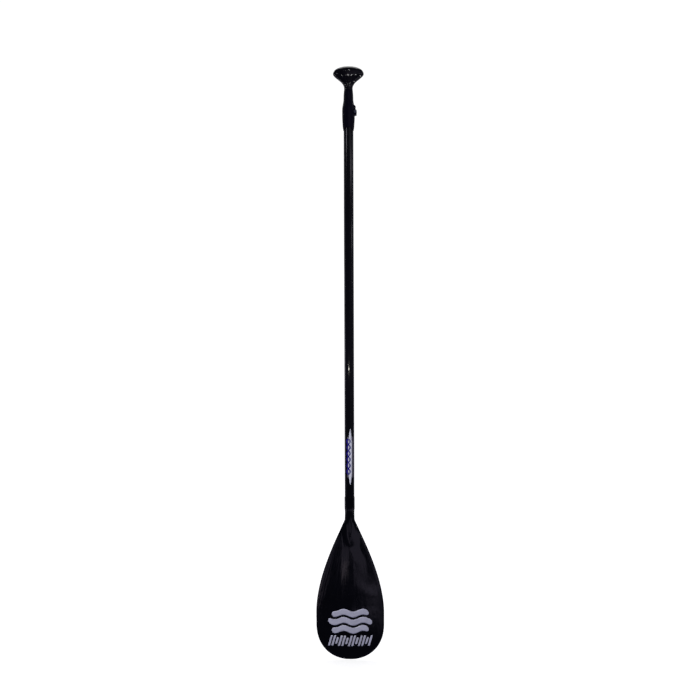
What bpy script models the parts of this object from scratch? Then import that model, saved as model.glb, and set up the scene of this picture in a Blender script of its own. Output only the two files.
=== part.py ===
"""Adjustable single blade paddle: a raked moulded blade, a round shaft with a split clamp collar and
cam lever, and an inner handle tube with a palm grip that slides out of the shaft.

Metres, +Z up along the shaft. The origin is on the shaft's axis, at the middle of the outer shaft.
The blade's power face looks towards -Y, and its tip leans away towards +Y.
"""

import math

import bmesh
import bpy
from mathutils import Matrix, Vector

GAP = 0.0003
ROUND = 40
SMALL_ROUND = 20

# Outer shaft
SHAFT_BOTTOM = -0.582
SHAFT_TOP = 0.582
SHAFT_RADIUS = 0.0145
SHAFT_BORE = 0.0132
SHAFT_SLOT = (0.0025, 0.045)

# Blade
NECK_RADIUS = 0.0145
SHOULDER_RADIUS = 0.0154
SHOULDER_HEIGHT = 0.034
SPIGOT_LENGTH = 0.100
SPIGOT_RADIUS = SHAFT_BORE - GAP
SPIGOT_BORE = 0.0090
SPIGOT_BORE_DEPTH = 0.020
WAIST_Z = -0.632
BLADE_LENGTH = 0.4612
BLADE_HALF_WIDTH = 0.1035
BLADE_RAKE = math.radians(8)
BEND_LENGTH = 0.10
BLADE_EDGE = 0.0016
DIHEDRAL = math.radians(4)
SPINE_LENGTH = 0.30
SPINE_HEIGHT = 0.0105
FLANK_START = 0.012
FLANK_SLOPE = 0.17
BACK_RIB_WIDTH = 0.016
RIVET_Z = -0.545
RIVET_RADIUS = 0.0019
RIVET_SHANK = 0.0063

# Clamp collar
COLLAR_BOTTOM = 0.516
COLLAR_TOP = 0.636
COLLAR_BORE = SHAFT_RADIUS + GAP
COLLAR_NECK_BORE = 0.01235
LIP_ARCH_HEIGHT = 0.008
LIP_ARCH_HALF_CHORD = 0.0150
SPLIT_WIDTH = 0.0025
CLAMP_Z = 0.572
BOLT_X = 0.0200
BOLT_RADIUS = 0.0024
BOLT_HOLE = 0.0028
EAR_BACK = 0.0075
SEAT_DEPTH = 0.0005
EAR_EDGE = 0.0008
EAR_STEP = 0.002
EAR_LOBES = ((0.0155, CLAMP_Z, 0.0095), (0.0163, CLAMP_Z + 0.014, 0.0055))
KEY_RING_HEIGHT = 0.0066
KEY_RING_RADIUS = 0.0150
KEY_WIDTH = 0.0030
COLLAR_SCREW_Z = 0.534
COLLAR_SCREW_RADIUS = 0.0015
COLLAR_SCREW_LENGTH = 0.0032
SCREW_HEAD_RADIUS = 0.0029
SCREW_SEAT_RADIUS = 0.0034
SCREW_SEAT_Y = 0.0163

# Bolt, washer, saddle and barrel pin
WASHER = (0.0048, 0.0010)
BOLT_HEAD = (0.0043, 0.0040)
HEX_SOCKET = (0.0023, 0.0022)
SADDLE = (0.0092, 0.0015, 0.0150)
SEAT_MARGIN = 0.0004
PIN_Y = 0.0145
PIN_RADIUS = 0.0034
PIN_HALF = 0.0069
PIN_EDGE = 0.0005
BOLT_PAST_PIN = 0.0028

# Lever
LEVER_HALF_HEIGHT = 0.0075
LEVER_INNER = 0.0194
LEVER_TIP_ANGLE = math.radians(148)
CAM_RADIUS = 0.0049
CAM_BACK_RADIUS = 0.0044
LEVER_EDGE = 0.0009
FORK_HALF_GAP = 0.0031
FORK_REACH = 0.0052

# Handle
TRAVEL = 0.400
TUBE_BOTTOM = 0.020
TUBE_RADIUS = 0.01205
TUBE_BORE = 0.0106
GROOVE_FLOOR = 0.0113
GUIDE_LENGTH = 0.024
GUIDE_STEM = 0.030
O_RING_Z = 0.008
O_RING_SEAT = 0.0108
O_RING_WIRE = 0.0009
O_RING_GROOVE = 0.0012
STOP_FLANGE = (0.0129, 0.0022)
CORE_BOTTOM = 0.596
GRIP_BOTTOM = COLLAR_TOP + GAP + STOP_FLANGE[1] + GAP
GRIP_TOP = 0.708
GRIP_WALL = 0.0032
GRIP_HOLLOW_RADIUS = 0.0083
CORE_STEM_RADIUS = 0.0080
CORE_STEM_HEIGHT = 0.026
GRIP_PIN_Z = 0.615
GRIP_PIN_RADIUS = 0.0015
GRIP_LEVELS = (
    # height above the grip's bottom, half width, half thickness
    (0.0000, 0.0123, 0.0122),
    (0.0010, 0.0127, 0.0125),
    (0.0070, 0.0130, 0.0127),
    (0.0130, 0.0151, 0.0134),
    (0.0190, 0.0190, 0.0144),
    (0.0250, 0.0250, 0.0154),
    (0.0310, 0.0326, 0.0165),
    (0.0370, 0.0399, 0.0175),
    (0.0430, 0.0451, 0.0180),
    (0.0480, 0.0460, 0.0181),
    (0.0530, 0.0446, 0.0177),
    (0.0580, 0.0410, 0.0165),
    (0.0630, 0.0337, 0.0140),
    (0.0670, 0.0226, 0.0098),
    (0.0690, 0.0106, 0.0048),
)


def clear_scene():
    for obj in list(bpy.data.objects):
        bpy.data.objects.remove(obj, do_unlink=True)


def material(name, colour, roughness, metallic=0.0):
    made = bpy.data.materials.new(name)
    made.use_nodes = True
    shader = made.node_tree.nodes["Principled BSDF"]
    shader.inputs["Base Color"].default_value = (*colour, 1.0)
    shader.inputs["Roughness"].default_value = roughness
    shader.inputs["Metallic"].default_value = metallic
    return made


def add_mesh(name, builder, finish=None, origin=(0, 0, 0)):
    """Makes an object from a bmesh whose points are in world space, with its origin put at origin."""
    bmesh.ops.recalc_face_normals(builder, faces=builder.faces)
    bmesh.ops.translate(builder, verts=builder.verts, vec=-Vector(origin))
    mesh = bpy.data.meshes.new(name)
    builder.to_mesh(mesh)
    builder.free()
    mesh.shade_smooth()
    mesh.set_sharp_from_angle(angle=math.radians(35))
    obj = bpy.data.objects.new(name, mesh)
    obj.location = origin
    bpy.context.collection.objects.link(obj)
    if finish:
        mesh.materials.append(finish)
    return obj


def turned(profile, steps=ROUND, centre=(0, 0)):
    """A bmesh turned about a vertical axis, from (radius, z) points. A radius of 0 makes a pole."""
    builder = bmesh.new()
    rings = []
    for radius, z in profile:
        if radius == 0:
            rings.append([builder.verts.new((centre[0], centre[1], z))])
            continue
        angles = [2 * math.pi * step / steps for step in range(steps)]
        rings.append([
            builder.verts.new((centre[0] + radius * math.cos(a), centre[1] + radius * math.sin(a), z))
            for a in angles
        ])
    closed = profile[0][0] != 0
    pairs = list(zip(rings, rings[1:]))
    if closed:
        pairs.append((rings[-1], rings[0]))
    for low, high in pairs:
        bridge(builder, low, high)
    return builder


def bridge(builder, low, high):
    """Faces between two rings of points, or between a ring and a pole."""
    count = max(len(low), len(high))
    for step in range(count):
        after = (step + 1) % count
        corners = [low[step % len(low)], low[after % len(low)]]
        corners += [high[after % len(high)], high[step % len(high)]]
        builder.faces.new(list(dict.fromkeys(corners)))


def tube_profile(outer, inner, low, high):
    return [(inner, low), (outer, low), (outer, high), (inner, high)]


def rod_profile(radius, low, high):
    return [(0, low), (radius, low), (radius, high), (0, high)]


def block(low, high):
    builder = bmesh.new()
    size = [b - a for a, b in zip(low, high)]
    centre = [(a + b) / 2 for a, b in zip(low, high)]
    placed = Matrix.Translation(centre) @ Matrix.Diagonal((*size, 1))
    bmesh.ops.create_cube(builder, size=1, matrix=placed)
    return builder


def rod_along(axis, centre, radius, length, steps=SMALL_ROUND):
    """A solid rod along X or Y, centred on a point."""
    turn = Matrix.Rotation(math.pi / 2, 4, "Y" if axis == "X" else "X")
    builder = bmesh.new()
    bmesh.ops.create_cone(
        builder, cap_ends=True, segments=steps, radius1=radius, radius2=radius,
        depth=length, matrix=Matrix.Translation(centre) @ turn,
    )
    return builder


def extruded(outline, low, high):
    """A prism from an outline in the XY plane."""
    builder = bmesh.new()
    bottom = [builder.verts.new((x, y, low)) for x, y in outline]
    top = [builder.verts.new((x, y, high)) for x, y in outline]
    builder.faces.new(bottom)
    builder.faces.new(top)
    bridge(builder, bottom, top)
    return builder


def cutter(name, builder):
    obj = add_mesh(name, builder)
    obj.hide_render = True
    obj.display_type = "WIRE"
    return obj


def boolean(obj, tool, operation="DIFFERENCE"):
    modifier = obj.modifiers.new(f"{operation.lower()} {tool.name}", "BOOLEAN")
    modifier.operation = operation
    modifier.solver = "EXACT"
    modifier.object = tool


def bevel(obj, width, segments=2):
    modifier = obj.modifiers.new("bevel", "BEVEL")
    modifier.width = width
    modifier.segments = segments
    modifier.limit_method = "ANGLE"
    modifier.angle_limit = math.radians(40)


def smooth_step(value):
    value = min(max(value, 0.0), 1.0)
    return value * value * (3 - 2 * value)


def mixed(first, second, share):
    return first + (second - first) * share


# ---------------------------------------------------------------- blade


def blade_half_width(along):
    """Half the blade's width at a distance from the waist: a flaring side, then a round tip."""
    side_start = 0.019
    side_end = 0.316
    round_start = 0.348
    if along <= side_start:
        return mixed(NECK_RADIUS, 0.0150, along / side_start)
    if along < side_end:
        first = (side_start, 0.0150)
        second = (0.094, 0.0488)
        third = (0.209, BLADE_HALF_WIDTH)
        last = (side_end, BLADE_HALF_WIDTH)
        low, high = 0.0, 1.0
        for _ in range(30):
            middle = (low + high) / 2
            if bezier(first, second, third, last, middle)[0] < along:
                low = middle
            else:
                high = middle
        return bezier(first, second, third, last, low)[1]
    share = max(along - round_start, 0) / (BLADE_LENGTH - round_start)
    power = 2.25
    return BLADE_HALF_WIDTH * max(1 - share**power, 0) ** (1 / power)


def bezier(first, second, third, last, share):
    rest = 1 - share
    weights = (rest**3, 3 * rest**2 * share, 3 * rest * share**2, share**3)
    return [sum(w * p[axis] for w, p in zip(weights, (first, second, third, last))) for axis in (0, 1)]


def blade_centre(along, steps=60):
    """(y, z, lean) of the blade's centre line, which bends from the shaft's axis to the rake."""
    y = 0.0
    z = WAIST_Z
    for step in range(steps):
        lean = BLADE_RAKE * smooth_step(along * (step + 0.5) / steps / BEND_LENGTH)
        y += math.sin(lean) * along / steps
        z -= math.cos(lean) * along / steps
    return y, z, BLADE_RAKE * smooth_step(along / BEND_LENGTH)


def face_depths(across, along, half_width):
    """How far the front and back faces stand from the centre line, at a distance across the blade."""
    share = min(abs(across) / half_width, 1.0)
    edge = BLADE_EDGE * math.sqrt(max(1 - share**6, 0))
    spine = SPINE_HEIGHT * max(1 - along / SPINE_LENGTH, 0) ** 1.4
    flank = FLANK_START + FLANK_SLOPE * along
    wedge = spine * max(1 - abs(across) / flank, 0)
    rib = 1.15 * spine * math.exp(-((across / BACK_RIB_WIDTH) ** 2))
    crown = 0.0012 * (1 - share**2)
    slope = abs(across) * math.tan(DIHEDRAL)
    round_part = NECK_RADIUS * math.sqrt(max(1 - share**2, 0))
    blend = smooth_step(along / 0.055)
    front = mixed(round_part, edge + wedge - slope, blend)
    back = mixed(round_part, edge + rib + crown + slope, blend)
    return front, back


def blade_stations():
    """Distances from the waist at which the blade has a ring of points, closer together at both ends."""
    flare = [0.005 * step for step in range(13)]
    body = [0.0725 + 0.0195 * step for step in range(14)]
    tip_start = body[-1]
    tip_angles = [math.pi / 2 * step / 13 for step in range(1, 13)]
    tip = [mixed(tip_start, BLADE_LENGTH, math.sin(angle)) for angle in tip_angles]
    return flare + body + tip


def across_positions(half_width, count=17):
    """Positions across the blade, closer together at its edges."""
    return [-half_width * math.cos(math.pi * step / (count - 1)) for step in range(count)]


def blade_ring(builder, along):
    half_width = max(blade_half_width(along), 0.004)
    y, z, lean = blade_centre(along)
    face = Vector((0, -math.cos(lean), -math.sin(lean)))
    centre = Vector((0, y, z))
    positions = across_positions(half_width)
    depths = [face_depths(x, along, half_width) for x in positions]
    front = [centre + Vector((x, 0, 0)) + face * d[0] for x, d in zip(positions, depths)]
    back = [centre + Vector((x, 0, 0)) - face * d[1] for x, d in zip(positions, depths)]
    points = front + back[-2:0:-1]
    return [builder.verts.new(point) for point in points]


def neck_ring(builder, radius, z):
    """A round ring with its points at the same places across as the blade's rings."""
    positions = across_positions(radius)
    depth = [math.sqrt(max(radius**2 - x**2, 0)) for x in positions]
    front = [(x, -d, z) for x, d in zip(positions, depth)]
    back = [(x, d, z) for x, d in zip(positions, depth)]
    return [builder.verts.new(point) for point in front + back[-2:0:-1]]


def blade(finish):
    """The blade, its neck, the shoulder under the shaft's end, and the hollow spigot inside the shaft."""
    builder = bmesh.new()
    shoulder_top = SHAFT_BOTTOM - GAP
    spigot_top = SHAFT_BOTTOM + SPIGOT_LENGTH
    neck = [
        (SPIGOT_BORE, shoulder_top - SPIGOT_BORE_DEPTH),
        (SPIGOT_BORE, spigot_top),
        (SPIGOT_RADIUS - 0.001, spigot_top),
        (SPIGOT_RADIUS, spigot_top - 0.002),
        (SPIGOT_RADIUS, shoulder_top),
        (SHOULDER_RADIUS - 0.0006, shoulder_top),
        (SHOULDER_RADIUS, shoulder_top - 0.0008),
        (SHOULDER_RADIUS, shoulder_top - SHOULDER_HEIGHT),
        (NECK_RADIUS + 0.0002, shoulder_top - SHOULDER_HEIGHT - 0.004),
    ]
    rings = [neck_ring(builder, radius, z) for radius, z in neck]
    rings += [blade_ring(builder, along) for along in blade_stations()]
    for low, high in zip(rings, rings[1:]):
        bridge(builder, low, high)
    builder.faces.new(rings[0])
    builder.faces.new(rings[-1])
    obj = add_mesh("blade", builder, finish)
    hole = rod_along("Y", (0, 0.012, RIVET_Z), RIVET_RADIUS + GAP, 0.010, 12)
    boolean(obj, cutter("cut_spigot_rivet", hole))
    return obj


# ---------------------------------------------------------------- shaft


def main_shaft(finish):
    tube = turned(tube_profile(SHAFT_RADIUS, SHAFT_BORE, SHAFT_BOTTOM, SHAFT_TOP))
    obj = add_mesh("main_shaft", tube, finish)
    width, depth = SHAFT_SLOT
    reach = 2 * SHAFT_RADIUS
    slot = block((-reach, -width / 2, SHAFT_TOP - depth), (reach, width / 2, SHAFT_TOP + depth))
    boolean(obj, cutter("cut_shaft_slots", slot))
    rivet_hole = rod_along("Y", (0, 0.014, RIVET_Z), RIVET_RADIUS + GAP, 0.012, 12)
    boolean(obj, cutter("cut_shaft_rivet", rivet_hole))
    screw_hole = rod_along("Y", (0, 0.014, COLLAR_SCREW_Z), COLLAR_SCREW_RADIUS + GAP, 0.012, 12)
    boolean(obj, cutter("cut_shaft_screw", screw_hole))
    return obj


def headed_pin(name, profile, centre, direction, finish):
    """A small turned pin. Its profile runs from its tip at 0 to its head, which points along Y or back."""
    builder = turned(profile, SMALL_ROUND)
    turn = Matrix.Rotation(-direction * math.pi / 2, 4, "X")
    bmesh.ops.transform(builder, verts=builder.verts, matrix=Matrix.Translation(centre) @ turn)
    return add_mesh(name, builder, finish)


def blade_rivet(finish):
    head = RIVET_SHANK
    profile = [
        (0, 0), (0.0014, 0), (RIVET_RADIUS, 0.0008), (RIVET_RADIUS, head),
        (0.0036, head), (0.0033, head + 0.0006), (0.0020, head + 0.0012), (0, head + 0.0014),
    ]
    return headed_pin("blade_rivet", profile, (0, SHAFT_RADIUS + GAP - head, RIVET_Z), 1, finish)


def collar_screw(finish):
    head = COLLAR_SCREW_LENGTH
    profile = [
        (0, 0), (0.0009, 0), (COLLAR_SCREW_RADIUS, 0.0008), (COLLAR_SCREW_RADIUS, head),
        (SCREW_HEAD_RADIUS, head), (SCREW_HEAD_RADIUS, head + 0.0009),
        (SCREW_HEAD_RADIUS - 0.0007, head + 0.0015), (0, head + 0.0016),
    ]
    return headed_pin("collar_screw", profile, (0, SCREW_SEAT_Y - head + GAP, COLLAR_SCREW_Z), 1, finish)


def shaft_foam_plug(finish):
    low = SHAFT_BOTTOM + SPIGOT_LENGTH + 0.003
    radius = SHAFT_BORE - GAP
    profile = [(0, low), (radius - 0.002, low), (radius, low + 0.002), (radius, low + 0.058),
               (radius - 0.002, low + 0.060), (0, low + 0.060)]
    return add_mesh("shaft_foam_plug", turned(profile, 24), finish)


# ---------------------------------------------------------------- clamp


def collar_outline():
    """(radius, z) up the collar's outside: rounded lip, full body, shoulder and long neck."""
    return [
        (0.0153, COLLAR_BOTTOM),
        (0.0159, COLLAR_BOTTOM + 0.0015),
        (0.0170, COLLAR_BOTTOM + 0.009),
        (0.0177, COLLAR_BOTTOM + 0.017),
        (0.0182, COLLAR_BOTTOM + 0.026),
        (0.0188, COLLAR_BOTTOM + 0.036),
        (0.0189, COLLAR_BOTTOM + 0.046),
        (0.0188, COLLAR_BOTTOM + 0.064),
        (0.0181, COLLAR_BOTTOM + 0.071),
        (0.0169, COLLAR_BOTTOM + 0.077),
        (0.0158, COLLAR_BOTTOM + 0.083),
        (0.0150, COLLAR_BOTTOM + 0.088),
        (0.0146, COLLAR_BOTTOM + 0.094),
        (0.0145, COLLAR_BOTTOM + 0.104),
        (0.0139, COLLAR_BOTTOM + 0.112),
        (0.0134, COLLAR_TOP - 0.0012),
        (0.0130, COLLAR_TOP),
    ]


def collar_bore():
    """The stepped hole through the collar: the shaft's seat, the key ring's pocket and the neck."""
    ring_low = SHAFT_TOP + GAP
    ring_high = ring_low + KEY_RING_HEIGHT + 2 * GAP
    return [
        (0, COLLAR_BOTTOM - 0.01),
        (COLLAR_BORE, COLLAR_BOTTOM - 0.01),
        (COLLAR_BORE, ring_low),
        (KEY_RING_RADIUS + GAP, ring_low),
        (KEY_RING_RADIUS + GAP, ring_high),
        (COLLAR_NECK_BORE, ring_high),
        (COLLAR_NECK_BORE, COLLAR_TOP + 0.01),
        (0, COLLAR_TOP + 0.01),
    ]


def clamp_collar(finish):
    outline = collar_outline()
    solid = [(0, COLLAR_BOTTOM)] + outline + [(0, COLLAR_TOP)]
    obj = add_mesh("clamp_collar", turned(solid), finish)
    for index, (x, z, radius) in enumerate(EAR_LOBES):
        depth = 2 * (EAR_BACK + SEAT_DEPTH) - EAR_STEP * index
        lobe = rod_along("Y", (x, 0, z), radius, depth, 32)
        tool = cutter(f"add_ear_lobe_{index}", lobe)
        bevel(tool, EAR_EDGE)
        boolean(obj, tool, "UNION")
    boolean(obj, cutter("cut_collar_bore", turned(collar_bore())))
    split = block((0, -SPLIT_WIDTH / 2, COLLAR_BOTTOM - 0.01), (0.04, SPLIT_WIDTH / 2, CLAMP_Z + 0.028))
    boolean(obj, cutter("cut_collar_split", split))
    bolt_hole = rod_along("Y", (BOLT_X, 0, CLAMP_Z), BOLT_HOLE, 0.04)
    boolean(obj, cutter("cut_bolt_hole", bolt_hole))
    boolean(obj, cutter("cut_washer_seat", washer_seat()))
    boolean(obj, cutter("cut_saddle_seat", saddle_seat()))
    boolean(obj, cutter("cut_lip_arch", lip_arch()))
    screw_hole = rod_along("Y", (0, 0.016, COLLAR_SCREW_Z), COLLAR_SCREW_RADIUS + GAP, 0.010, 12)
    boolean(obj, cutter("cut_collar_screw", screw_hole))
    seat = rod_along("Y", (0, SCREW_SEAT_Y + 0.005, COLLAR_SCREW_Z), SCREW_SEAT_RADIUS, 0.010, 16)
    boolean(obj, cutter("cut_screw_seat", seat))
    return obj


def washer_seat():
    """The round spot face that lets the washer and the bolt's head sit against the front ear."""
    depth = 0.010
    centre = (BOLT_X, -EAR_BACK - depth / 2, CLAMP_Z)
    return rod_along("Y", centre, WASHER[0] + SEAT_MARGIN, depth, 24)


def saddle_seat():
    width, height, length = SADDLE
    low = (BOLT_X - width / 2 - SEAT_MARGIN, EAR_BACK, CLAMP_Z - length / 2 - SEAT_MARGIN)
    high = (BOLT_X + width, EAR_BACK + 3 * height, CLAMP_Z + length / 2 + SEAT_MARGIN)
    return block(low, high)


def lip_arch():
    """A lying cylinder whose top is the arch in the collar's lower lip, front and back."""
    radius = (LIP_ARCH_HALF_CHORD**2 + LIP_ARCH_HEIGHT**2) / (2 * LIP_ARCH_HEIGHT)
    return rod_along("Y", (0, 0, COLLAR_BOTTOM + LIP_ARCH_HEIGHT - radius), radius, 0.06, 48)


def key_ring(finish):
    """The ring on the shaft's end whose inner key runs in the handle tube's groove."""
    low = SHAFT_TOP + GAP
    high = low + KEY_RING_HEIGHT
    obj = add_mesh("key_ring", turned(tube_profile(KEY_RING_RADIUS, COLLAR_NECK_BORE, low, high)), finish)
    key = block((-KEY_WIDTH / 2, GROOVE_FLOOR + GAP, low), (KEY_WIDTH / 2, 0.0135, high))
    boolean(obj, cutter("add_key", key), "UNION")
    return obj


def clamp_bolt(finish):
    head_radius, head_height = BOLT_HEAD
    seat = EAR_BACK + GAP + WASHER[1] + GAP
    tip = PIN_Y + BOLT_PAST_PIN
    length = seat + tip
    top = length + head_height
    profile = [
        (0, 0), (BOLT_RADIUS - 0.0005, 0), (BOLT_RADIUS, 0.0006), (BOLT_RADIUS, length),
        (head_radius, length), (head_radius, top - 0.0006), (head_radius - 0.0006, top), (0, top),
    ]
    obj = headed_pin("clamp_bolt", profile, (BOLT_X, tip, CLAMP_Z), -1, finish)
    socket_radius, socket_depth = HEX_SOCKET
    socket_y = -(seat + head_height)
    socket = rod_along("Y", (BOLT_X, socket_y, CLAMP_Z), socket_radius, 2 * socket_depth, 6)
    boolean(obj, cutter("cut_hex_socket", socket))
    return obj


def bolt_washer(finish):
    radius, height = WASHER
    builder = turned(tube_profile(radius, BOLT_HOLE, 0, height), 24)
    turn = Matrix.Translation((BOLT_X, -EAR_BACK - GAP, CLAMP_Z)) @ Matrix.Rotation(math.pi / 2, 4, "X")
    bmesh.ops.transform(builder, verts=builder.verts, matrix=turn)
    return add_mesh("bolt_washer", builder, finish)


def cam_saddle(finish):
    width, height, length = SADDLE
    low = (BOLT_X - width / 2, EAR_BACK + GAP, CLAMP_Z - length / 2)
    high = (BOLT_X + width / 2, EAR_BACK + GAP + height, CLAMP_Z + length / 2)
    obj = add_mesh("cam_saddle", block(low, high), finish)
    bevel(obj, 0.0004, 1)
    hole = rod_along("Y", (BOLT_X, EAR_BACK, CLAMP_Z), BOLT_HOLE, 0.01)
    boolean(obj, cutter("cut_saddle_hole", hole))
    return obj


def barrel_pin(finish):
    low = CLAMP_Z - PIN_HALF
    high = CLAMP_Z + PIN_HALF
    end_radius = PIN_RADIUS - PIN_EDGE
    profile = [
        (0, low), (end_radius, low), (PIN_RADIUS, low + PIN_EDGE),
        (PIN_RADIUS, high - PIN_EDGE), (end_radius, high), (0, high),
    ]
    obj = add_mesh("barrel_pin", turned(profile, 24, (BOLT_X, PIN_Y)), finish)
    hole = rod_along("Y", (BOLT_X, PIN_Y, CLAMP_Z), BOLT_RADIUS + GAP, 0.02)
    boolean(obj, cutter("cut_pin_hole", hole))
    return obj


# ---------------------------------------------------------------- lever


def cam_radius(angle):
    """The cam's radius: full where it presses at rest, and less where it faces the saddle when open."""
    away = abs((angle - math.radians(265) + math.pi) % (2 * math.pi) - math.pi)
    return mixed(CAM_RADIUS, CAM_BACK_RADIUS, smooth_step((away - math.radians(20)) / math.radians(60)))


def lever_outer(angle):
    """The radius, from the shaft's axis, of the lever's outer side."""
    start = math.radians(45)
    end = LEVER_TIP_ANGLE
    share = (angle - start) / (end - start)
    thin = mixed(0.0288, 0.0226, smooth_step(share / 0.55))
    return thin + 0.0006 * smooth_step((share - 0.8) / 0.2)


def lever_outline():
    """The closed lever from above: cam end, arm wrapped round the collar's back, and rounded tip."""
    cam = []
    for step in range(17):
        angle = math.radians(mixed(222, 222 + 230, step / 16))
        radius = cam_radius(angle)
        cam.append((BOLT_X + radius * math.cos(angle), PIN_Y + radius * math.sin(angle)))
    outer = [polar(lever_outer(a), a) for a in spread(math.radians(48), LEVER_TIP_ANGLE - 0.05, 14)]
    tip_middle = (LEVER_INNER + lever_outer(LEVER_TIP_ANGLE)) / 2
    tip = [polar(tip_middle + 0.0009, LEVER_TIP_ANGLE), polar(tip_middle - 0.0005, LEVER_TIP_ANGLE)]
    inner = [polar(LEVER_INNER, a) for a in spread(LEVER_TIP_ANGLE - 0.04, math.radians(43), 13)]
    return cam + outer + tip + inner


def polar(radius, angle):
    return radius * math.cos(angle), radius * math.sin(angle)


def spread(first, last, count):
    return [mixed(first, last, step / (count - 1)) for step in range(count)]


def clamp_lever(finish):
    pivot = bpy.data.objects.new("lever_pivot", None)
    pivot.location = (BOLT_X, PIN_Y, CLAMP_Z)
    bpy.context.collection.objects.link(pivot)
    low = CLAMP_Z - LEVER_HALF_HEIGHT
    high = CLAMP_Z + LEVER_HALF_HEIGHT
    obj = add_mesh("clamp_lever", extruded(lever_outline(), low, high), finish, pivot.location)
    obj.parent = pivot
    obj.location = (0, 0, 0)
    bevel(obj, LEVER_EDGE)
    pin_hole = turned(rod_profile(PIN_RADIUS + GAP, low - 0.005, high + 0.005), 24, (BOLT_X, PIN_Y))
    boolean(obj, cutter("cut_lever_pin_hole", pin_hole))
    fork_left = BOLT_X - FORK_REACH
    slot = block((fork_left, -0.01, CLAMP_Z - FORK_HALF_GAP), (0.05, 0.05, CLAMP_Z + FORK_HALF_GAP))
    boolean(obj, cutter("cut_lever_fork", slot))
    return obj


# ---------------------------------------------------------------- handle


def handle_tube(finish):
    tube = turned(tube_profile(TUBE_RADIUS, TUBE_BORE, TUBE_BOTTOM, COLLAR_TOP))
    obj = add_mesh("handle_tube", tube, finish)
    groove_low = SHAFT_TOP - TRAVEL - 0.001
    groove_high = SHAFT_TOP + KEY_RING_HEIGHT + 0.004
    half = KEY_WIDTH / 2 + GAP
    groove = block((-half, GROOVE_FLOOR, groove_low), (half, 0.02, groove_high))
    boolean(obj, cutter("cut_key_groove", groove))
    hole = rod_along("X", (0, 0, GRIP_PIN_Z), GRIP_PIN_RADIUS + GAP, 0.04, 12)
    boolean(obj, cutter("cut_tube_pin", hole))
    return obj


def tube_guide_plug(finish):
    head = SHAFT_BORE - GAP
    stem = TUBE_BORE - GAP
    top = TUBE_BOTTOM - GAP
    bottom = top - GUIDE_LENGTH
    groove_low = O_RING_Z - O_RING_GROOVE
    groove_high = O_RING_Z + O_RING_GROOVE
    stem_top = top + GUIDE_STEM
    profile = [
        (0, bottom), (head - 0.002, bottom), (head, bottom + 0.002), (head, groove_low),
        (O_RING_SEAT, groove_low), (O_RING_SEAT, groove_high), (head, groove_high),
        (head, top), (stem, top), (stem, stem_top - 0.002), (stem - 0.001, stem_top), (0, stem_top),
    ]
    return add_mesh("tube_guide_plug", turned(profile, 32), finish)


def tube_o_ring(finish):
    middle = O_RING_SEAT + GAP + O_RING_WIRE
    angles = [2 * math.pi * step / 10 for step in range(10)]
    profile = [(middle + O_RING_WIRE * math.cos(a), O_RING_Z + O_RING_WIRE * math.sin(a)) for a in angles]
    return add_mesh("tube_o_ring", turned(profile, 32), finish)


def tube_foam_plug(finish):
    return add_mesh("tube_foam_plug", turned(rod_profile(TUBE_BORE - GAP, 0.530, 0.580), 24), finish)


def grip_body(shrink=0.0, steps=32):
    """The grip's whole outer shape, or the hollow inside it when shrunk by the wall."""
    builder = bmesh.new()
    rings = []
    for level, (height, half_width, half_depth) in enumerate(GRIP_LEVELS):
        if shrink and (half_depth - shrink < 0.0060 or height > 0.0640):
            continue
        z = GRIP_BOTTOM + height
        width = half_width - shrink
        depth = half_depth - shrink
        if shrink and level < 4:
            width = depth = GRIP_HOLLOW_RADIUS
            z -= 0.002 if level == 0 else 0
        rings.append([
            builder.verts.new((width * math.cos(a), depth * math.sin(a), z))
            for a in (2 * math.pi * step / steps for step in range(steps))
        ])
    for low, high in zip(rings, rings[1:]):
        bridge(builder, low, high)
    builder.faces.new(rings[0])
    builder.faces.new(rings[-1])
    return builder


def grip_shell(name, side, hollow, finish):
    """One half of the palm grip, in front of or behind the joint between the halves."""
    obj = add_mesh(name, grip_body(), finish)
    boolean(obj, hollow)
    near = side * GAP / 2
    far = -side * 0.05
    low = (-0.06, min(near, far), GRIP_BOTTOM - 0.01)
    high = (0.06, max(near, far), GRIP_TOP + 0.01)
    boolean(obj, cutter(f"cut_{name}", block(low, high)))
    return obj


def grip_core(finish):
    """The grip's core: a spigot in the tube, the stop flange, and a headed stem inside the shells."""
    spigot = TUBE_BORE - GAP
    flange_radius, flange_height = STOP_FLANGE
    flange_low = COLLAR_TOP + GAP
    flange_high = flange_low + flange_height
    stem = CORE_STEM_RADIUS
    stem_top = flange_high + CORE_STEM_HEIGHT
    profile = [
        (0, CORE_BOTTOM), (spigot - 0.001, CORE_BOTTOM), (spigot, CORE_BOTTOM + 0.001), (spigot, flange_low),
        (flange_radius, flange_low), (flange_radius, flange_high), (stem, flange_high), (stem, stem_top),
        (0, stem_top),
    ]
    obj = add_mesh("grip_core", turned(profile, 32), finish)
    hole = rod_along("X", (0, 0, GRIP_PIN_Z), GRIP_PIN_RADIUS + GAP, 0.04, 12)
    boolean(obj, cutter("cut_core_pin", hole))
    return obj


def grip_pin(finish):
    length = 2 * (TUBE_RADIUS - 0.0002)
    return add_mesh("grip_pin", rod_along("X", (0, 0, GRIP_PIN_Z), GRIP_PIN_RADIUS, length, 16), finish)


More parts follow.
